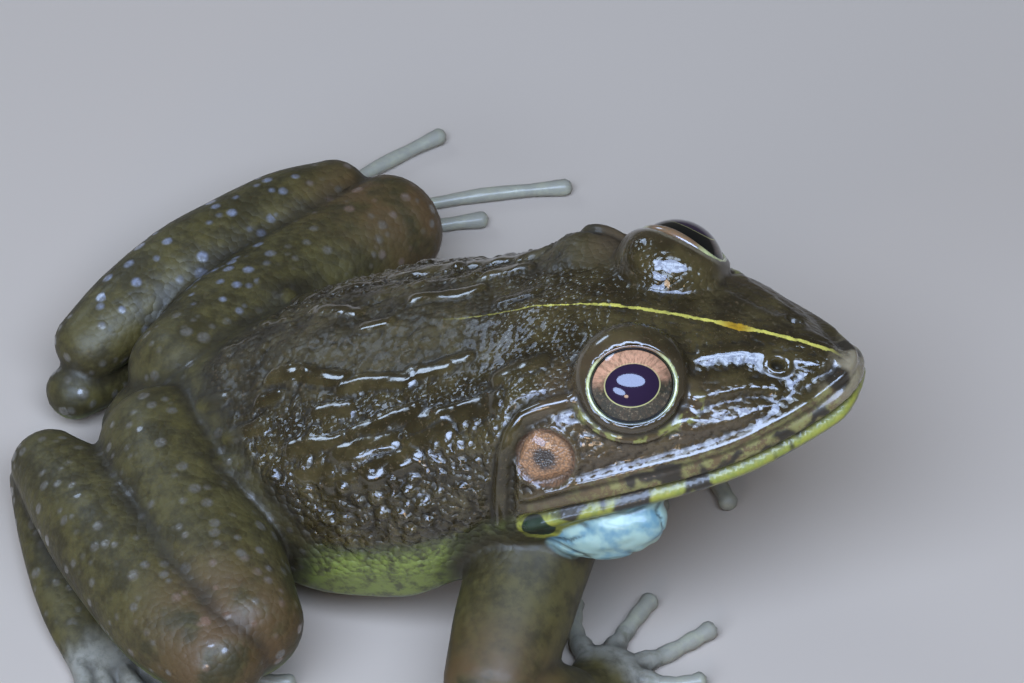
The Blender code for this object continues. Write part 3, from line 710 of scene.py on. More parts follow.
FOLD_HEIGHT, FOLD_REACH, FOLD_ENDS = 1.05, 1.6, (1.02, 0.9)
GROOVE_DEPTH, GROOVE_AWAY, GROOVE_REACH = 1.1, 2.1, 1.2  # the hollow before the ear's fold
CHEEK_SWELL, CHEEK_HEIGHT, CHEEK_REACH = (-10.5, 22.5, 54.3), 0.45, 4
JAW_MUSCLE, MUSCLE_REACH = (-17, 18, 56), 9
MUSCLE_LEFT, MUSCLE_RIGHT = 2.6, 1.2
DRUM_RIM, DRUM_SINK, DRUM_DOME, DRUM_DIMPLE = 0.45, 0.55, 0.35, 0.3
NOSTRIL_RIM, NOSTRIL_DEPTH, NOSTRIL_REACH = 0.6, 2.5, 1.2
LID_GROOVE, LID_GROOVE_AWAY, LID_ROLL, LID_ROLL_AWAY = 0.6, 2.6, 0.4, 3.9
rise = -0.6 * ease(33, 37.5, x)
for height, begins, full, stays, ended in LIP_ROLLS:
    rise += mouth * height * ease(begins, full, lip) * ease(ended, stays, lip)
for height, level, reach in LIP_FOLDS:
    rise += mouth * height * hump(lip - level, reach)
# The mouth's line is darkened with painted shade.
crease_shade = mouth * hump(lip - MOUTH_LEVEL, MOUTH_REACH)
for height, reach, path in FACE_FOLDS:
    apart, _ = path_distance(m, path)
    rise += height * hump(apart, reach) * np.where(y > 0, FAR_FACE, 1)
canthus, _ = path_distance(m, FACE_FOLDS[0][2])

rise += FOLD_HEIGHT * hump(fold, FOLD_REACH) * ease(*FOLD_ENDS, fold_share)
groove = hump(fold - GROOVE_AWAY, GROOVE_REACH) * in_front_of_fold
groove = groove * ease(1, 0.6, fold_share) * ease(0.05, 0.3, fold_share)
rise -= GROOVE_DEPTH * groove
# The hollow before the fold also gets painted shade.
crease_shade += 0.8 * groove
rise += CHEEK_HEIGHT * hump(away(CHEEK_SWELL), CHEEK_REACH)
rise += np.where(y > 0, MUSCLE_LEFT, MUSCLE_RIGHT) * hump(away(JAW_MUSCLE), MUSCLE_REACH)
drum_edge = DRUM_RIM * hump(ear - 1.04, 0.16) - DRUM_SINK * ease(1, 0.86, ear)
rise += np.where(ear < 1.6, drum_edge, 0)
rise += np.where(ear < 1, DRUM_DOME * hump(ear, 0.8) - DRUM_DIMPLE * hump(ear, 0.3), 0)
rise += NOSTRIL_RIM * hump(nostril - 1.5, 0.6) - NOSTRIL_DEPTH * hump(nostril, NOSTRIL_REACH)
# Painted shade inside the nostril's hole.
crease_shade += hump(nostril, 1.05)
lower_lid = ease(0.1, -0.5, np.sin(lid_turn)) * (lid_edge < 8)
rise -= lower_lid * LID_GROOVE * hump(lid_edge - LID_GROOVE_AWAY, 0.8)
rise += lower_lid * LID_ROLL * hump(lid_edge - LID_ROLL_AWAY, 1)
# Painted shade in the groove under the lower lid.
crease_shade += 0.6 * lower_lid * hump(lid_edge - LID_GROOVE_AWAY, 0.6)

# The skin is smooth on lids, eardrum, fold, lips, nostrils, limbs and underneath, and ridged,
# pebbled and warty elsewhere.
smooth = most(
    ease(4.8, 3.4, lid_edge), ease(1, 0.9, ear),
    ease(2.2, 1.2, fold) * ease(1, 0.9, fold_share), mouth * ease(6.1, 5.4, lip),
    ease(3.2, 2.5, nostril), ease(1.4, 0.6, canthus), 0.7 * limb, 0.8 * digit,
    ease(-4, -8, lip),
)
RIDGES = (  # both ends of each broken ridge of the back, then its half width and height
    (-36, -19.8, 44.8, -22.2, -18.5, 52.5, 1.7, 0.9),
    (-46.4, -20.7, 39.9, -36.7, -18, 45.3, 1.7, 0.9),
    (-56.9, -21.3, 34.2, -48.6, -21, 38.8, 1.6, 0.8),
    (-48, -23.1, 37.7, -39.9, -21.9, 41.9, 1.8, 0.9),
    (-42.8, -26, 37, -35.2, -24.7, 41.6, 1.8, 1),
    (-48.8, -26.8, 33.2, -43.6, -26.3, 36.2, 1.7, 0.8),
    (-35.7, -22.7, 43.1, -30.2, -21.9, 46.2, 1.6, 0.8),
    (-64.9, -6.3, 35.8, -51.1, -10, 42, 1.5, 0.8),
    (-50.6, -11.7, 41.7, -39.5, -11.9, 46.5, 1.5, 0.8),
    (-53.5, -15.9, 38.7, -48.6, -15.9, 41.1, 1.3, 0.6),
    (-69.6, -15.2, 29, -63.3, -15.7, 33.2, 1.5, 0.7),
    (-70.6, 23.4, 24.3, -64.3, 17.8, 31.4, 1.5, 0.8),
    (-61.5, 9.1, 36.9, -53.6, 6.1, 41.9, 1.4, 0.7),
    (-50.1, 1.5, 44.2, -46.1, 1.2, 46, 1.3, 0.6),
    (-70, 11.2, 30.5, -66.7, 8.8, 33.7, 1.3, 0.6),
    (-65.2, -10.8, 33.9, -62.7, -11, 35.4, 1.4, 0.6),
    (-33.9, -9.7, 49.8, -30.1, -8.9, 51.8, 1.3, 0.6),
    (-22.8, -14.8, 53.7, -15.9, -12.5, 57.5, 1.4, 0.7),
    (-39.8, -10.9, 46.7, -32.8, -10.4, 50.1, 1.4, 0.7),
    (-42.7, 6.8, 46.7, -32.4, 7.9, 51.1, 1.4, 0.7),
    (-70, -20, 26.6, -66.8, -20.6, 28, 1.2, 0.5),
    (-53.7, -25, 33.2, -49.6, -25.3, 35.1, 1.3, 0.6),
    (-36, 19, 45.3, -24, 18, 51.7, 1.6, 0.8),
    (-50, 19.5, 38.9, -39, 18.5, 44.3, 1.6, 0.8),
    (-60, 17, 34.8, -53, 18, 37.9, 1.4, 0.7),
    (-45, 13, 45, -36, 13.5, 48.8, 1.4, 0.7),
    (-46, 25, 35.6, -38, 24, 40.5, 1.6, 0.8),
    (-32, 12, 50.2, -25, 13, 53.2, 1.3, 0.6),
    (-57, 25, 28.5, -50, 26, 31, 1.5, 0.6),
    (-76, 4, 29.5, -71, 5, 32.6, 1.3, 0.5),
    (-77, -8, 27.6, -73, -8, 30.4, 1.3, 0.5),
    (-27, 3, 54.6, -22, 4.5, 56.6, 1.2, 0.4),
)
RIDGE_SPREAD, RIDGE_HEIGHT, RIDGE_BOX = 1.4, 1.1, (12, 7, 9)
BEND_SIZE, BEND, LUMP_SIZE, LUMP_HEIGHT = 5, 1.6, 6.5, 0.9
bent = p + stirred(p, BEND_SIZE, 11, 12, 13) * BEND
ridge = np.zeros(count)
for x0, y0, z0, x1, y1, z1, half, height in RIDGES:
    centre = np.array((x0 + x1, y0 + y1, z0 + z1)) / 2
    near = np.flatnonzero((np.abs(p - centre) < RIDGE_BOX).all(1))
    apart, _ = path_distance(bent[near], ((x0, y0, z0), (x1, y1, z1)))
    uneven = 0.75 + 0.6 * (clouds(bent[near], 2.6, 15) - 0.2)
    profile = np.clip(1 - (apart / (half * RIDGE_SPREAD)) ** 3, 0, 1) ** 1.2
    ridge[near] = np.maximum(ridge[near], height * uneven * profile)
rise += ridge * RIDGE_HEIGHT
smooth = most(smooth, 0.85 * ease(0.15, 0.5, ridge))
lumps = LUMP_HEIGHT * (clouds(bent, LUMP_SIZE, 17) - 0.5)
rise += lumps * (1 - limb) * (1 - digit) * ease(-14, -22, x) * dorsal

CLUSTER = (  # middles of the large pebbles low on the flank, then their radius
    (-40.8, 27.9, 33.9, 1.5), (-37.8, 27.9, 34.7, 1.4), (-35.2, 27.3, 36.8, 1.3),
    (-34.7, 26.6, 38.9, 1.1), (-39.5, 28.8, 31.2, 1.3), (-36.2, 28.8, 31.9, 1.6),
    (-37.8, 26.8, 37.3, 1.3), (-43.9, 27.9, 32.7, 1.3), (-32.4, 28, 34.9, 1.4),
    (-30, 27.4, 37.6, 1.2), (-46.6, 27, 34, 1.2), (-31.2, 28.5, 32.2, 1.2),
)
WART_SIZE, GRANULE_SIZE, WRINKLE_SIZE = 2.3, 1.5, 1.4
WART_RISE, COBBLE_RISE, WRINKLE_DEPTH, FACE_GRANULE = 0.62, 0.75, 0.14, 0.10
cobble = np.zeros(count)
for *middle, radius in CLUSTER:
    cobble = most(cobble, np.sqrt(np.clip(1 - (away(middle) / radius) ** 2, 0, 1)))
rise += COBBLE_RISE * cobble
coarse, coarse_share = pebbles(bent, WART_SIZE, 21)
fine, fine_share = pebbles(bent, GRANULE_SIZE, 31)
patchy = ease(0.35, 0.65, clouds(p, 9, 41))
rear_or_flank = most(ease(-30, -50, x), ease(14, 24, span))
warty = trunk * dorsal * (0.35 + 0.65 * rear_or_flank) * (1 - smooth)
wart = (1 - (coarse / 0.7) ** 2) * (0.4 + 0.6 * ease(0.1, 0.9, coarse_share))
rise += WART_RISE * (wart * (1 - ease(0, 0.3, cobble))) * warty * (0.4 + 0.6 * patchy)
granule = hump(fine, 0.62) * (0.35 + 0.65 * fine_share)
rise += (0.20 + 0.24 * ease(7, 14, span)) * granule * dorsal * (1 - smooth) * trunk
wrinkle = ease(0.35, 0, np.abs(clouds(bent, WRINKLE_SIZE, 61) - 0.5) * 2)
rise -= WRINKLE_DEPTH * wrinkle * head * (1 - smooth) * ease(6, 1, y)
rise += FACE_GRANULE * granule * (1 - smooth) * head
pouched = ease(1.12, 1, sac) * ease(-2.6, -4, lip)
slack = 0.5 * (clouds(p * (0.35, 1, 1), 2.6, 81) - 0.5)
rise += pouched * (slack - 0.3 * hump(clouds(p * (0.25, 1, 1), 2.2, 83) - 0.5, 0.14))

# Dark bars on the lips, torn at their edges, and dark patches on the jaw's corner and the snout.
LIP_BARS = (  # from x, to x, from height, to height over the mouth line
    (2.8, 12, 1.3, 4.4), (14, 20, 0.6, 2.9), (21.5, 33, 0.1, 1.8), (-0.6, 5.6, -3.8, 0.2),
    (11.8, 16.6, -3.8, 0.6), (-9.5, -4.6, -1.4, 0.8), (24.5, 27, -3.4, -1.2),
)
BAR_CORNER = 1.2
JAW_PATCH, JAW_PATCH_HALF = (-12.4, 27.6, 34.4), (2.9, 9, 2.8)
SNOUT_PATCH, SNOUT_PATCH_HALF = (33, 3.7, 58.2), (2.6, 1.9, 2.4)
torn = stirred(p, 2.2, 75, 76) * 3.6 + stirred(p, 0.9, 73, 74) * 1.2
bar = np.zeros(count)
for x0, x1, low, high in LIP_BARS:
    beyond_x = np.maximum(x0 - x - torn[:, 0], x + torn[:, 0] - x1) + BAR_CORNER
    beyond_z = np.maximum(low - lip - torn[:, 1], lip + torn[:, 1] - high) + BAR_CORNER
    beyond = np.hypot(np.maximum(beyond_x, 0), np.maximum(beyond_z, 0)) - BAR_CORNER
    bar = most(bar, ease(0.5, -0.4, beyond) * head)
bar = most(bar, ease(1.2, 0.8, away(SNOUT_PATCH - torn[:, :1] * 0.5, SNOUT_PATCH_HALF)))
patch = np.minimum(away(JAW_PATCH, JAW_PATCH_HALF), 3)
under = most(
    ease(4, -4.5, lip) * (1 - limb) * ease(-13, -20, x),
    ease(-6, -9, lip) * (1 - limb) * ease(-20, -13, x),
    ease(-0.1, -0.7, n[:, 2]) * most(limb, digit), ease(0.5, 0, z),
)

rise *= ease(0, 2, z)
p = p + n * rise[:, None]
even = most(mouth * ease(7.5, 6, np.abs(lip)), ease(5, 4, lid_edge), ease(3.5, 2.5, nostril))
p = evened(p, even, FACE_TURNS)
p[:, 2] = np.maximum(p[:, 2], 0)
x, y, z = p.T
hollow = np.einsum("ij,ij->i", neighbour_mean(p) - p, outward(p))
hollow = relaxed(hollow[:, None], np.ones(count), 1)[:, 0]
joint = ease(0.1, 0.4, limb) * ease(0.95, 0.6, limb)
# Painted shade in every hollow of the skin, strongest where the legs meet the body.
crease_shade = most(
    crease_shade, 0.85 * ease(0.006, 0.04, hollow * (1 + 8 * ease(0, 0.15, limb))),
    0.5 * joint * ease(-20, -26, x) * ease(2, 5, z),
)


def set_layer(mesh, name, values):
    """Stores a value at each point of a mesh for its material to read."""
    layer = mesh.attributes.new(name, "FLOAT", "POINT")
    layer.data.foreach_set("value", np.asarray(values, np.float32))


skin_mesh.vertices.foreach_set("co", place(p).ravel())
for name, values in {
    "lip": lip, "head": head, "ear": ear, "lid_edge": lid_edge, "lid_turn": np.sin(lid_turn),
    "pouch": np.clip(sac, 0, 3), "bar": bar, "under": under, "limb": limb, "digit": digit,
    "crease_shade": np.clip(crease_shade, 0, 1), "smooth": smooth, "patch": patch,
}.items():
    set_layer(skin_mesh, name, values)

# The face, the flanks and the back keep all their points, and the rest is thinned.
kept = most(ease(-26, -20, x) * ease(22, 27, z), trunk * dorsal)
kept = (kept > 0.5) & (limb < 0.6) & (x > -84)
group = melted.vertex_groups.new(name="coarse")
group.add(np.flatnonzero(~kept).tolist(), 1, "REPLACE")
thin = melted.modifiers.new("thin", "DECIMATE")
thin.ratio = MOST_TRIANGLES / (2 * len(quads))
thin.vertex_group = "coarse"
skin = with_modifiers(melted, "skin")
skin.data.shade_smooth()


def sign(operation, backwards=False):
    """What one of Python's own signs does to patterns: it makes a shader node of the sum."""
    return lambda *values: maths(operation, *(reversed(values) if backwards else values))


class Pattern:
    """A value in the material being made, for use in sums."""

    def __init__(self, socket):
        self.socket = socket

    __add__, __sub__, __rsub__ = sign("ADD"), sign("SUBTRACT"), sign("SUBTRACT", backwards=True)
    __mul__, __truediv__ = sign("MULTIPLY"), sign("DIVIDE")
    __pow__, __abs__ = sign("POWER"), sign("ABSOLUTE")


def plug(socket, value):
    """Links a socket to a pattern or a node, or sets it to a number or a colour."""
    if isinstance(value, bpy.types.Node):
        value = value.outputs[0]
    if isinstance(value, Pattern):
        value = value.socket
    if isinstance(value, bpy.types.NodeSocket):
        tree.links.new(value, socket)
    else:
        socket.default_value = (*value, 1) if socket.type == "RGBA" else value


def plug_shader(values):
    """Plugs inputs of the main shader of the material being made, by name."""
    for name, value in values.items():
        plug(shader.inputs[name], value)


def add_node(kind, inputs=(), **settings):
    """A shader node with its settings made and its inputs plugged, by name or number."""
    made = tree.nodes.new(kind)
    for key, value in settings.items():
        setattr(made, key, value)
    for key, value in dict(inputs).items():
        plug(made.inputs[key], value)
    return made


def maths(operation, *values):
    """One sum of patterns and numbers."""
    return Pattern(add_node("ShaderNodeMath", enumerate(values), operation=operation).outputs[0])


def larger(first, *others):
    """The largest of several patterns."""
    for other in others:
        first = maths("MAXIMUM", first, other)
    return first


def attribute(name):
    """A value stored at the mesh's points."""
    return Pattern(add_node("ShaderNodeAttribute", attribute_name=name).outputs["Fac"])


def stepped(value, low, high, bottom=0, top=1):
    """bottom below low, top above high, eased between; low may be the larger."""
    if low > high:
        low, high, bottom, top = high, low, top, bottom
    inputs = {0: value, 1: low, 2: high, 3: bottom, 4: top}
    return Pattern(
        add_node("ShaderNodeMapRange", inputs, interpolation_type="SMOOTHSTEP").outputs[0]
    )


def blended(share, first, second):
    """Two colours, plain or patterned, mixed by share."""
    inputs = {0: share, 6: first, 7: second}
    return Pattern(add_node("ShaderNodeMix", inputs, data_type="RGBA").outputs[2])


def here():
    """Places on the object, in metres."""
    return add_node("ShaderNodeTexCoord").outputs["Object"]


def three(kind, socket):
    """The three parts of a place or a colour."""
    return [Pattern(part) for part in add_node(kind, {0: socket}).outputs[:3]]


def noise(size, detail=3, roughness=0.55):
    """Cloudy noise from 0 to 1, its features a size in millimetres."""
    inputs = {"Scale": 1 / (size * MM), "Detail": detail, "Roughness": roughness}
    return Pattern(add_node("ShaderNodeTexNoise", {"Vector": here(), **inputs}).outputs["Fac"])


def cells(size):
    """Distance to the nearest middle, and a random colour, of cells a size in millimetres."""
    node = add_node("ShaderNodeTexVoronoi", {"Vector": here(), "Scale": 1 / (size * MM)})
    return Pattern(node.outputs["Distance"]), node.outputs["Color"]


def new_material(name):
    """A material, its node tree and its main shader."""
    made = bpy.data.materials.new(name)
    made.use_nodes = True
    return made, made.node_tree, made.node_tree.nodes["Principled BSDF"]


# Colours, from the back to the toes and the face.
BACK_DARK, BACK_LIGHT, GRAIN = (0.018, 0.012, 0.004), (0.050, 0.035, 0.011), (0.115, 0.075, 0.035)
CHEEK = (0.075, 0.047, 0.022)
FLANK, BELLY, BELLY_PALE = (0.048, 0.046, 0.014), (0.125, 0.14, 0.025), (0.30, 0.28, 0.16)
LEG_DARK, LEG_LIGHT, KNEE_RED = (0.026, 0.019, 0.005), (0.058, 0.044, 0.011), (0.066, 0.035, 0.011)
# Painted highlight: a pale blue-white glint put into the colour of warts on the far shank.
WART_GLINT = (0.17, 0.175, 0.19)
LEG_SPOT, LEG_SPOT_PINK = (0.098, 0.083, 0.058), (0.15, 0.085, 0.05)
# The second colour here is painted shade, laid into creases, grooves, hollows, the mouth's line and
# the nostrils.
PATCH_DARK, CREASE_SHADE = (0.012, 0.022, 0.009), (0.01, 0.007, 0.004)
LID_BROWN, LID_LIME, LID_TAN = (0.04, 0.027, 0.012), (0.16, 0.145, 0.035), (0.14, 0.11, 0.06)
LIP_TAN = (0.095, 0.058, 0.022)
LIP_GREEN, LIP_BAR, JAW_LIME = (0.155, 0.130, 0.038), (0.022, 0.016, 0.009), (0.205, 0.192, 0.026)
SAC_PALE, SAC_BLUE = (0.24, 0.315, 0.23), (0.10, 0.18, 0.18)
SNOUT_TAN, DRUM_TAN, DRUM_DARK = (0.20, 0.155, 0.085), (0.255, 0.122, 0.048), (0.045, 0.032, 0.022)
LINE_YELLOW, LINE_ORANGE, TOE_PALE = (0.42, 0.35, 0.06), (0.30, 0.16, 0.01), (0.19, 0.17, 0.12)
SHEEN_TINT = (1, 0.95, 0.76)
FLESH_REACH = (0.6, 0.3, 0.15)  # how far red, green and blue light soak in, one against another
SPOT_CELL, GRIT_CELL, BEAD_CELL = 3, 0.42, 1.2  # millimetres

skin_material, tree, shader = new_material("wet_skin")
x_mm, y_mm, z_mm = (part / MM for part in three("ShaderNodeSeparateXYZ", here()))
x_mm -= float(HOME[0])
blotch = noise(7, 4)
speck = noise(0.7, 2)
limb_mask, digit_mask, under_mask = (attribute(name) for name in ("limb", "digit", "under"))
head_mask, smooth_mask, crease_shade_mask = (attribute(name) for name in ("head", "smooth", "crease_shade"))
lip_mm, drum, sac_mask = (attribute(name) for name in ("lip", "ear", "pouch"))
lid_mm, lid_high, jaw_patch = (attribute(name) for name in ("lid_edge", "lid_turn", "patch"))

colour = blended(stepped(blotch, 0.35, 0.7), BACK_DARK, BACK_LIGHT)
colour = blended(stepped(speck, 0.58, 0.75) * 0.45, colour, GRAIN)
mottle = noise(2.2, 5, 0.7)
leg_colour = blended(stepped(blotch + (mottle - 0.5) * 0.9, 0.3, 0.7), LEG_DARK, LEG_LIGHT)
knee = stepped(abs(y_mm), 34, 52) * stepped(x_mm, -82, -62)
leg_colour = blended(knee * stepped(blotch, 0.3, 0.6), leg_colour, KNEE_RED)
cheek = stepped(x_mm, -17, -13) * stepped(abs(y_mm), 9, 17)
belly = stepped(under_mask, 0.2, 0.75) * stepped(mottle, 0.36, 0.56)
belly *= stepped(digit_mask, 0.5, 0.2)
for share, paint in (
    (cheek * 0.5, CHEEK), (limb_mask, leg_colour), (stepped(under_mask, 0, 0.35), FLANK),
    (belly, BELLY), (stepped(under_mask, 0.8, 1) * stepped(z_mm, 6, 2), BELLY_PALE),
):
    colour = blended(share, colour, paint)
spot_distance, spot_random = cells(SPOT_CELL)
spot_size, spot_pick, spot_pink = three("ShaderNodeSeparateColor", spot_random)
spot_dome = stepped(spot_distance - (spot_size * 0.22 + 0.19), 0.08, -0.16)
# The warts on the far shank stand thicker and get the painted blue-white glint in their colour.
far_shank_glints = stepped(y_mm, 13, 18) * stepped(x_mm, -74, -79) * stepped(z_mm, 15, 19)
spot_field = spot_pick + noise(14, 1) * 0.8 + far_shank_glints * 0.26
spot_share = limb_mask * stepped(spot_field, 0.52, 0.58) * stepped(x_mm, -22, -34)
spot_share *= stepped(under_mask, 0.7, 0.3) * stepped(digit_mask, 0.6, 0.2)
spot_mask = spot_dome * spot_share
spot_colour = blended(knee * stepped(spot_pink, 0.4, 0.6), LEG_SPOT, LEG_SPOT_PINK)
spot_colour = blended(far_shank_glints, spot_colour, WART_GLINT)
colour = blended(spot_mask * stepped(speck, 0.3, 0.7, 0.45, 0.85), colour, spot_colour)
colour = blended(digit_mask * stepped(mottle, 0.3, 0.6, 0.45, 0.9), colour, TOE_PALE)

# The face: tan snout, green lips with dark bars, lime jaw, blue-green pouch and tan eardrum, and
# the yellow line that starts between the nostrils.
snout = stepped(x_mm + blotch * 7, 33, 37.5)
ragged = lip_mm + (mottle - 0.5) * 2.2
lip_band = stepped(ragged, 5.4, 4.2) * stepped(lip_mm, -0.4, 0.2)
lip_band *= stepped(x_mm, 35.5, 32.5, 0.15) * stepped(x_mm + mottle * 8, -6, 4, 0.25)
lip_band *= stepped(head_mask, 0.8, 0.95)
lip_colour = blended(stepped(noise(1.6, 4, 0.7), 0.42, 0.58), LIP_GREEN, LIP_TAN)
jaw_band = stepped(lip_mm, 0.2, -0.4) * stepped(ragged, -9, -6.5) * stepped(head_mask, 0.8, 0.95)
jaw_colour = blended(stepped(noise(1.8, 4, 0.7), 0.45, 0.62, 0, 0.55), JAW_LIME, BELLY)
sac_colour = blended(stepped(noise(5), 0.42, 0.62), SAC_PALE, SAC_BLUE)
sac_share = stepped(sac_mask, 1.12, 1.03) * stepped(lip_mm, -3, -4)
drum_grit, _ = cells(GRIT_CELL)
drum_shade = drum + (noise(1.3, 4, 0.7) - 0.5) * 0.55
drum_colour = blended(stepped(drum_shade, 0.26, 0.48), DRUM_DARK, DRUM_TAN)
drum_colour = blended(stepped(drum_grit, 0.4, 0.75, 0, 0.5), drum_colour, DRUM_DARK)
drum_colour = blended(stepped(drum, 0.86, 0.98, 0, 0.7), drum_colour, DRUM_DARK)
lid_band = stepped(lid_mm, 3.4, 2.4) * stepped(lid_high, 0.5, 0.1)
lid_tan = stepped(lid_mm, 1.9, 1.3) * stepped(lid_high, 0.1, 0.4) * stepped(y_mm, -1, 1)
lid_pale = stepped(abs(lid_mm - 3.9), 1.3, 0.5) * stepped(lid_high, -0.15, -0.5)
line_wobble = abs(y_mm) + (noise(0.9, 4, 0.7) - 0.5) * 0.9
blob = stepped(x_mm, 10, 14) * stepped(x_mm, 18.5, 15)
line_half = blob * 0.45 + stepped(x_mm, -14, -6, 0.12, 0.3)
line_share = stepped(line_wobble - line_half, 0.1, -0.06)
line_share *= stepped(x_mm, -40, -12, 0.15) * stepped(x_mm, 33.5, 28)
line_share *= stepped(z_mm, 50, 52)
for share, paint in (
    (snout * 0.9, SNOUT_TAN), (lip_band, lip_colour), (jaw_band, jaw_colour),
    (attribute("bar"), LIP_BAR), (sac_share, sac_colour), (stepped(jaw_patch, 1.45, 1.2), JAW_LIME),
    (stepped(jaw_patch, 1.02, 0.92), PATCH_DARK), (stepped(drum, 1, 0.95), drum_colour),
    (lid_band, LID_BROWN), (lid_tan * stepped(noise(0.6), 0.3, 0.6, 0.5), LID_TAN),
    (lid_pale * stepped(noise(3), 0.48, 0.56), LID_LIME),
    # painted shade: creases, grooves and hollows darkened
    (line_share, blended(blob, LINE_YELLOW, LINE_ORANGE)), (crease_shade_mask * 0.75, CREASE_SHADE),
):
    colour = blended(share, colour, paint)

# A wet film lies over it all, thin on the legs, the belly and the middle of the back.  Fine beads
# of skin stand under it.
calm_back = stepped(abs(y_mm), 16, 10) * stepped(x_mm, -20, -36)
far_hump = stepped(y_mm, 8, 12) * stepped(abs(x_mm + 17), 11, 7)
far_snout = stepped(y_mm, 1, 3) * stepped(x_mm, 5, 10)
dull = larger(
    stepped(limb_mask, 0, 0.3) * stepped(spot_mask, 0.2, 0.8, 1, 0.4), under_mask * 0.7,
    digit_mask * 0.8, crease_shade_mask, calm_back * stepped(smooth_mask, 0.7, 0.2) * 0.8,
    far_hump * 0.9, stepped(drum, 1, 0.9, 0, 0.35), larger(jaw_band, lip_band) * 0.65,
    far_snout * 0.6,
)
beaded = stepped(abs(y_mm), 19, 13) * stepped(x_mm, -2, -9) * stepped(smooth_mask, 0.6, 0.2)
film = 0.84 - beaded * 0.48
bead_distance, _ = cells(BEAD_CELL)
beads = (1 - (bead_distance * 1.4) ** 2) * 0.22 + noise(0.6, 2) * 0.07
beads *= (1 - smooth_mask) * stepped(x_mm, -14, -6, 1, 0.6)
beads *= 1 - larger(calm_back, far_hump) * 0.6
drum_pits = drum_grit * -0.2 * stepped(drum, 0.98, 0.9) * stepped(drum, 0.25, 0.6, 1.2, 0.7)
relief = beads + drum_pits + spot_mask * 0.07
plug_shader({
    "Base Color": colour,
    "Roughness": stepped(noise(3), 0.3, 0.7, 0.13, 0.24) + dull * 0.36,
    "Coat Weight": film * (1 - dull * 0.97), "Coat Roughness": 0.05, "Coat IOR": 1.45,
    "Specular IOR Level": 0.38, "Specular Tint": SHEEN_TINT,
    "Subsurface Weight": 0.04, "Subsurface Radius": FLESH_REACH, "Subsurface Scale": 0.0015,
    "Normal": add_node("ShaderNodeBump", {"Strength": 1, "Distance": MM, "Height": relief}),
})
skin.data.materials.append(skin_material)
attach(skin, "root")
PAIRED = "eardrum", "vocal_sac", "upper_arm", "forearm", "hand", "thigh", "shank", "foot"
FLESH = ["head", "lower_jaw", "trunk"] + [f"{part}_{side}" for side in SIDES for part in PAIRED]
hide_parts(*FLESH)

# ==== The eyes ====
# Each eye is a wet ball under the lids: a violet-black pupil with a gold edge, in an iris that is
# bronze above and dark olive below.  A pale rim of the lids lies close round it.
IRIS_BRONZE, IRIS_DARK = (0.46, 0.225, 0.115), (0.03, 0.026, 0.015)
# A near-black for the dark line at the lids' edge, and for painted shadow of the lid on the left
# eye's upper iris.
IRIS_EDGE_AND_SHADOW = (0.004, 0.004, 0.003)
IRIS_FLECK, IRIS_GOLD = (0.075, 0.045, 0.022), (0.21, 0.15, 0.075)
PUPIL, PUPIL_GOLD = (0.016, 0.008, 0.018), (0.36, 0.31, 0.11)
PUPIL_HALF = (4.53, 3.55)
RIM_CREAM, RIM_ORANGE, RIM_DULL = (0.38, 0.37, 0.14), (0.16, 0.085, 0.035), (0.075, 0.075, 0.045)
BACK_OF_EYE = 20.0  # what the eye's layers hold behind its middle, beyond any marking
RIM_STEPS, RIM_ACROSS = 200, 18


def oval(half):
    """Distance from the eye's axis, in half sizes of an oval."""
    return maths("SQRT", abs(u / half[0]) ** 2 + abs(v / half[1]) ** 2)


eye_material, tree, shader = new_material("eye")
u, v = attribute("eye_forward"), attribute("eye_up")
pupil, opening = oval(PUPIL_HALF), oval(OPENING)
turn = maths("ARCTAN2", v, u)
fan = {0: maths("COSINE", turn) * 9, 1: maths("SINE", turn) * 9, 2: pupil * 2.5}
streaks = add_node("ShaderNodeTexNoise", {
    "Vector": add_node("ShaderNodeCombineXYZ", fan), "Scale": 1, "Detail": 5,
    "Roughness": 0.75,
})
height_in_iris = v + (noise(2, 4, 0.65) - 0.5) * 4.5
iris = blended(stepped(height_in_iris, -0.8, 2.2), IRIS_DARK, IRIS_BRONZE)
iris = blended(stepped(streaks, 0.42, 0.62, 0, 0.6), iris, IRIS_FLECK)
iris = blended(stepped(noise(0.55, 4, 0.75), 0.52, 0.68) * 0.6, iris, IRIS_GOLD)
# Painted shadow of the lid over the upper iris, on the left eye only.
iris = blended(stepped(v, -1.5, 1.5) * attribute("eye_shade"), iris, IRIS_EDGE_AND_SHADOW)
iris = blended(stepped(opening, 0.93, 0.955), iris, IRIS_EDGE_AND_SHADOW)
iris = blended(stepped(pupil, 1.065, 1.035) * stepped(v, 3.5, -2, 0.35), iris, PUPIL_GOLD)
iris = blended(stepped(pupil, 1.015, 0.995), iris, PUPIL)
plug_shader({
    "Base Color": iris, "Roughness": 0.1, "Specular IOR Level": 0.1,
    "Coat Weight": 1, "Coat Roughness": 0.05, "Coat IOR": 1.42,
})

rim_material, tree, shader = new_material("lid_rim")
rim_high = attribute("rim_up")
rim_colour = blended(stepped(rim_high, -0.85, -0.5), RIM_DULL, RIM_CREAM)
rim_colour = blended(stepped(rim_high, 0.5, 0.8), rim_colour, RIM_ORANGE)
rim_colour = blended(stepped(noise(0.7), 0.45, 0.7, 0, 0.6), rim_colour, RIM_DULL)
plug_shader({
    "Base Color": rim_colour, "Roughness": 0.3, "Coat Weight": 1, "Coat Roughness": 0.06,
})

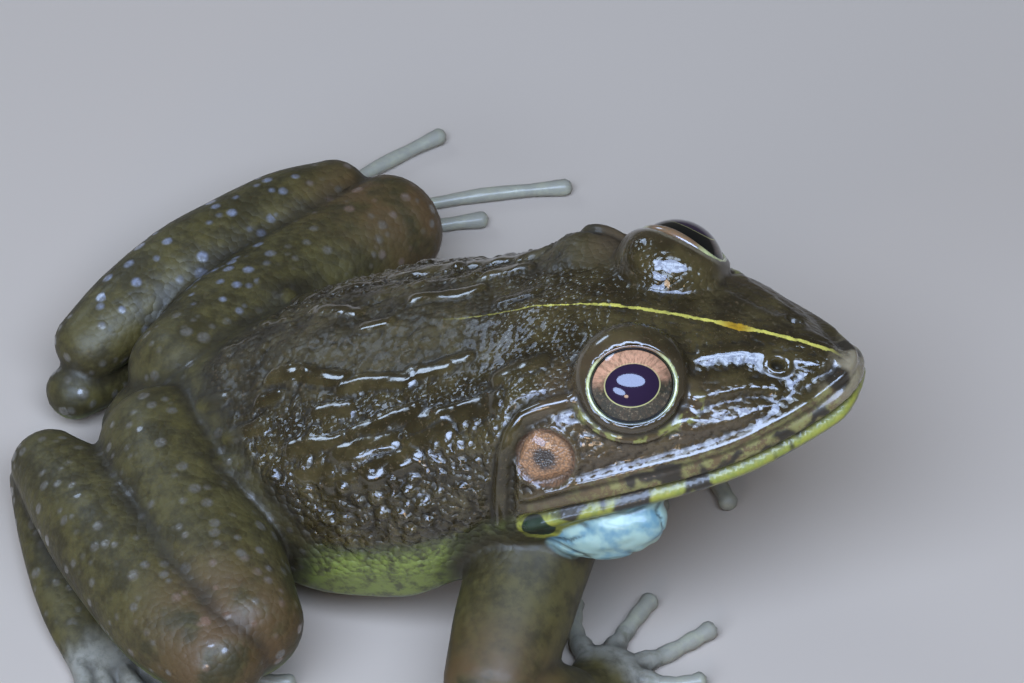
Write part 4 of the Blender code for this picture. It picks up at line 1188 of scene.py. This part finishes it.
for side in SIDES:
    middle, axis, forward, up = eye_frame(side)
    bend = np.linspace(0, math.pi, 66)[1:-1, None]
    turn = whole_turn(128)[None]
    ball = around_eye(side, EYE_RADIUS, bend, turn)
    ball, triangles = closed_tube(ball, middle + axis * EYE_RADIUS, middle - axis * EYE_RADIUS)
    eye = add_mesh(f"eye_ball_{side}", ball, triangles)
    out = ball - middle
    for name, direction in (("eye_forward", forward), ("eye_up", up)):
        set_layer(eye.data, name, np.where(out @ axis > 0, out @ direction, BACK_OF_EYE))
    # Marks which eye gets the lid's painted shadow: only the left.
    set_layer(eye.data, "eye_shade", np.full(len(out), side == "left"))
    eye.data.materials.append(eye_material)
    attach(eye, "root")
    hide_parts(f"eye_{side}")

    # The rim is a thin ring, wider in front and behind; the left eye's hangs lower over the eye.
    turn = whole_turn(RIM_STEPS)[:, None]
    ring = whole_turn(RIM_ACROSS)[None]
    hang = np.clip(np.sin(turn), 0, 1) ** 1.5 * (side == "left")
    wide = 0.13 + 0.27 * np.cos(turn) ** 2 + 0.12 * np.clip(np.cos(turn + 0.6), 0, 1) ** 4
    wide = wide + 0.60 * hang
    angle = lid_angle(turn) + (wide + 0.05 - 1.15 * hang + wide * np.cos(ring)) / EYE_RADIUS
    reach = EYE_RADIUS + 0.18 + (0.20 + 0.3 * wide) * np.sin(ring)
    grid = np.arange(RIM_STEPS * RIM_ACROSS).reshape(RIM_STEPS, RIM_ACROSS)
    beside, beyond = np.roll(grid, -1, 1), np.roll(grid, -1, 0)
    rim_quads = np.stack([grid, beside, np.roll(beside, -1, 0), beyond], -1)
    if side == "right":
        rim_quads = rim_quads[..., ::-1]  # mirrored, so its faces run the other way round
    rim = around_eye(side, reach, angle, turn)
    rim_piece = add_mesh(f"lid_rim_{side}", rim.reshape(-1, 3), rim_quads.reshape(-1, 4))
    set_layer(rim_piece.data, "rim_up", np.repeat(np.sin(turn).ravel(), RIM_ACROSS))
    rim_piece.data.materials.append(rim_material)
    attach(rim_piece, "root")

# ==== The floor, the light and the camera ====
# The figure sits on a wide sheet of warm grey paper.  A large soft light hangs over its right
# side, with a faint one behind, one level with the flank and a low warm one.
FLOOR_GREY, FLOOR_HALF = (0.345, 0.275, 0.19), 3
ROOM_TINT, ROOM_STRENGTH = (1, 0.95, 0.88), 0.12
LOOKED_AT = np.array((0.0355, 0, 0.0485))
LIGHT_DISTANCE = 1.3
LIGHTS = (  # name, direction from the figure, width, height, watts, tint
    ("key_light", (0.10, -0.545, 0.835), 1.7, 0.70, 58, (0.46, 0.61, 1)),
    ("side_light", (-0.74, 0.45, 0.48), 0.42, 0.34, 3.6, (0.55, 0.71, 1)),
    ("flank_light", (-0.28, -0.86, 0.42), 0.70, 0.32, 10.5, (0.46, 0.61, 1)),
    ("low_light", (0.03, -0.93, 0.31), 0.22, 0.16, 1.4, (1, 0.72, 0.5)),
)
CAMERA_DIRECTION, CAMERA_DISTANCE = np.array((0.183, -0.683, 0.707)), 3.2
SENSOR, VIEW_WIDTH = 36, 0.1727  # the sensor's width in mm, the width in view in metres

floor_mesh = bpy.data.meshes.new("floor")
floor_corners = np.array(((-1, -1, 0), (1, -1, 0), (1, 1, 0), (-1, 1, 0))) * FLOOR_HALF
floor_mesh.from_pydata(floor_corners.tolist(), [], [(0, 1, 2, 3)])
floor = shown("floor", floor_mesh)
floor_material, tree, shader = new_material("floor_paper")
plug_shader({"Base Color": FLOOR_GREY, "Roughness": 0.7})
floor_mesh.materials.append(floor_material)
floor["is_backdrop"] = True

world = bpy.data.worlds.new("studio")
bpy.context.scene.world = world
world.use_nodes = True
room = world.node_tree.nodes["Background"]
room.inputs["Color"].default_value = (*ROOM_TINT, 1)
room.inputs["Strength"].default_value = ROOM_STRENGTH


def aimed(thing, at):
    """Puts a light or the camera at a point and turns it towards the point looked at."""
    thing.location = at
    thing.rotation_mode = "QUATERNION"
    thing.rotation_quaternion = Vector(LOOKED_AT - at).to_track_quat("-Z", "Y")


for name, direction, width, height, watts, tint in LIGHTS:
    lamp = bpy.data.lights.new(name, "AREA")
    lamp.shape = "ELLIPSE"
    lamp.size, lamp.size_y = width, height
    lamp.energy = watts
    lamp.color = tint
    aimed(shown(name, lamp), LOOKED_AT + unit(direction) * LIGHT_DISTANCE)

camera_data = bpy.data.cameras.new("camera")
camera_data.sensor_width = SENSOR
camera_data.lens = SENSOR * CAMERA_DISTANCE / VIEW_WIDTH
camera_data.clip_end = 20
camera = shown("camera", camera_data)
aimed(camera, LOOKED_AT + CAMERA_DISTANCE * CAMERA_DIRECTION)
bpy.context.scene.view_settings.view_transform = "Standard"
bpy.context.scene.camera = camera

low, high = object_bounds()
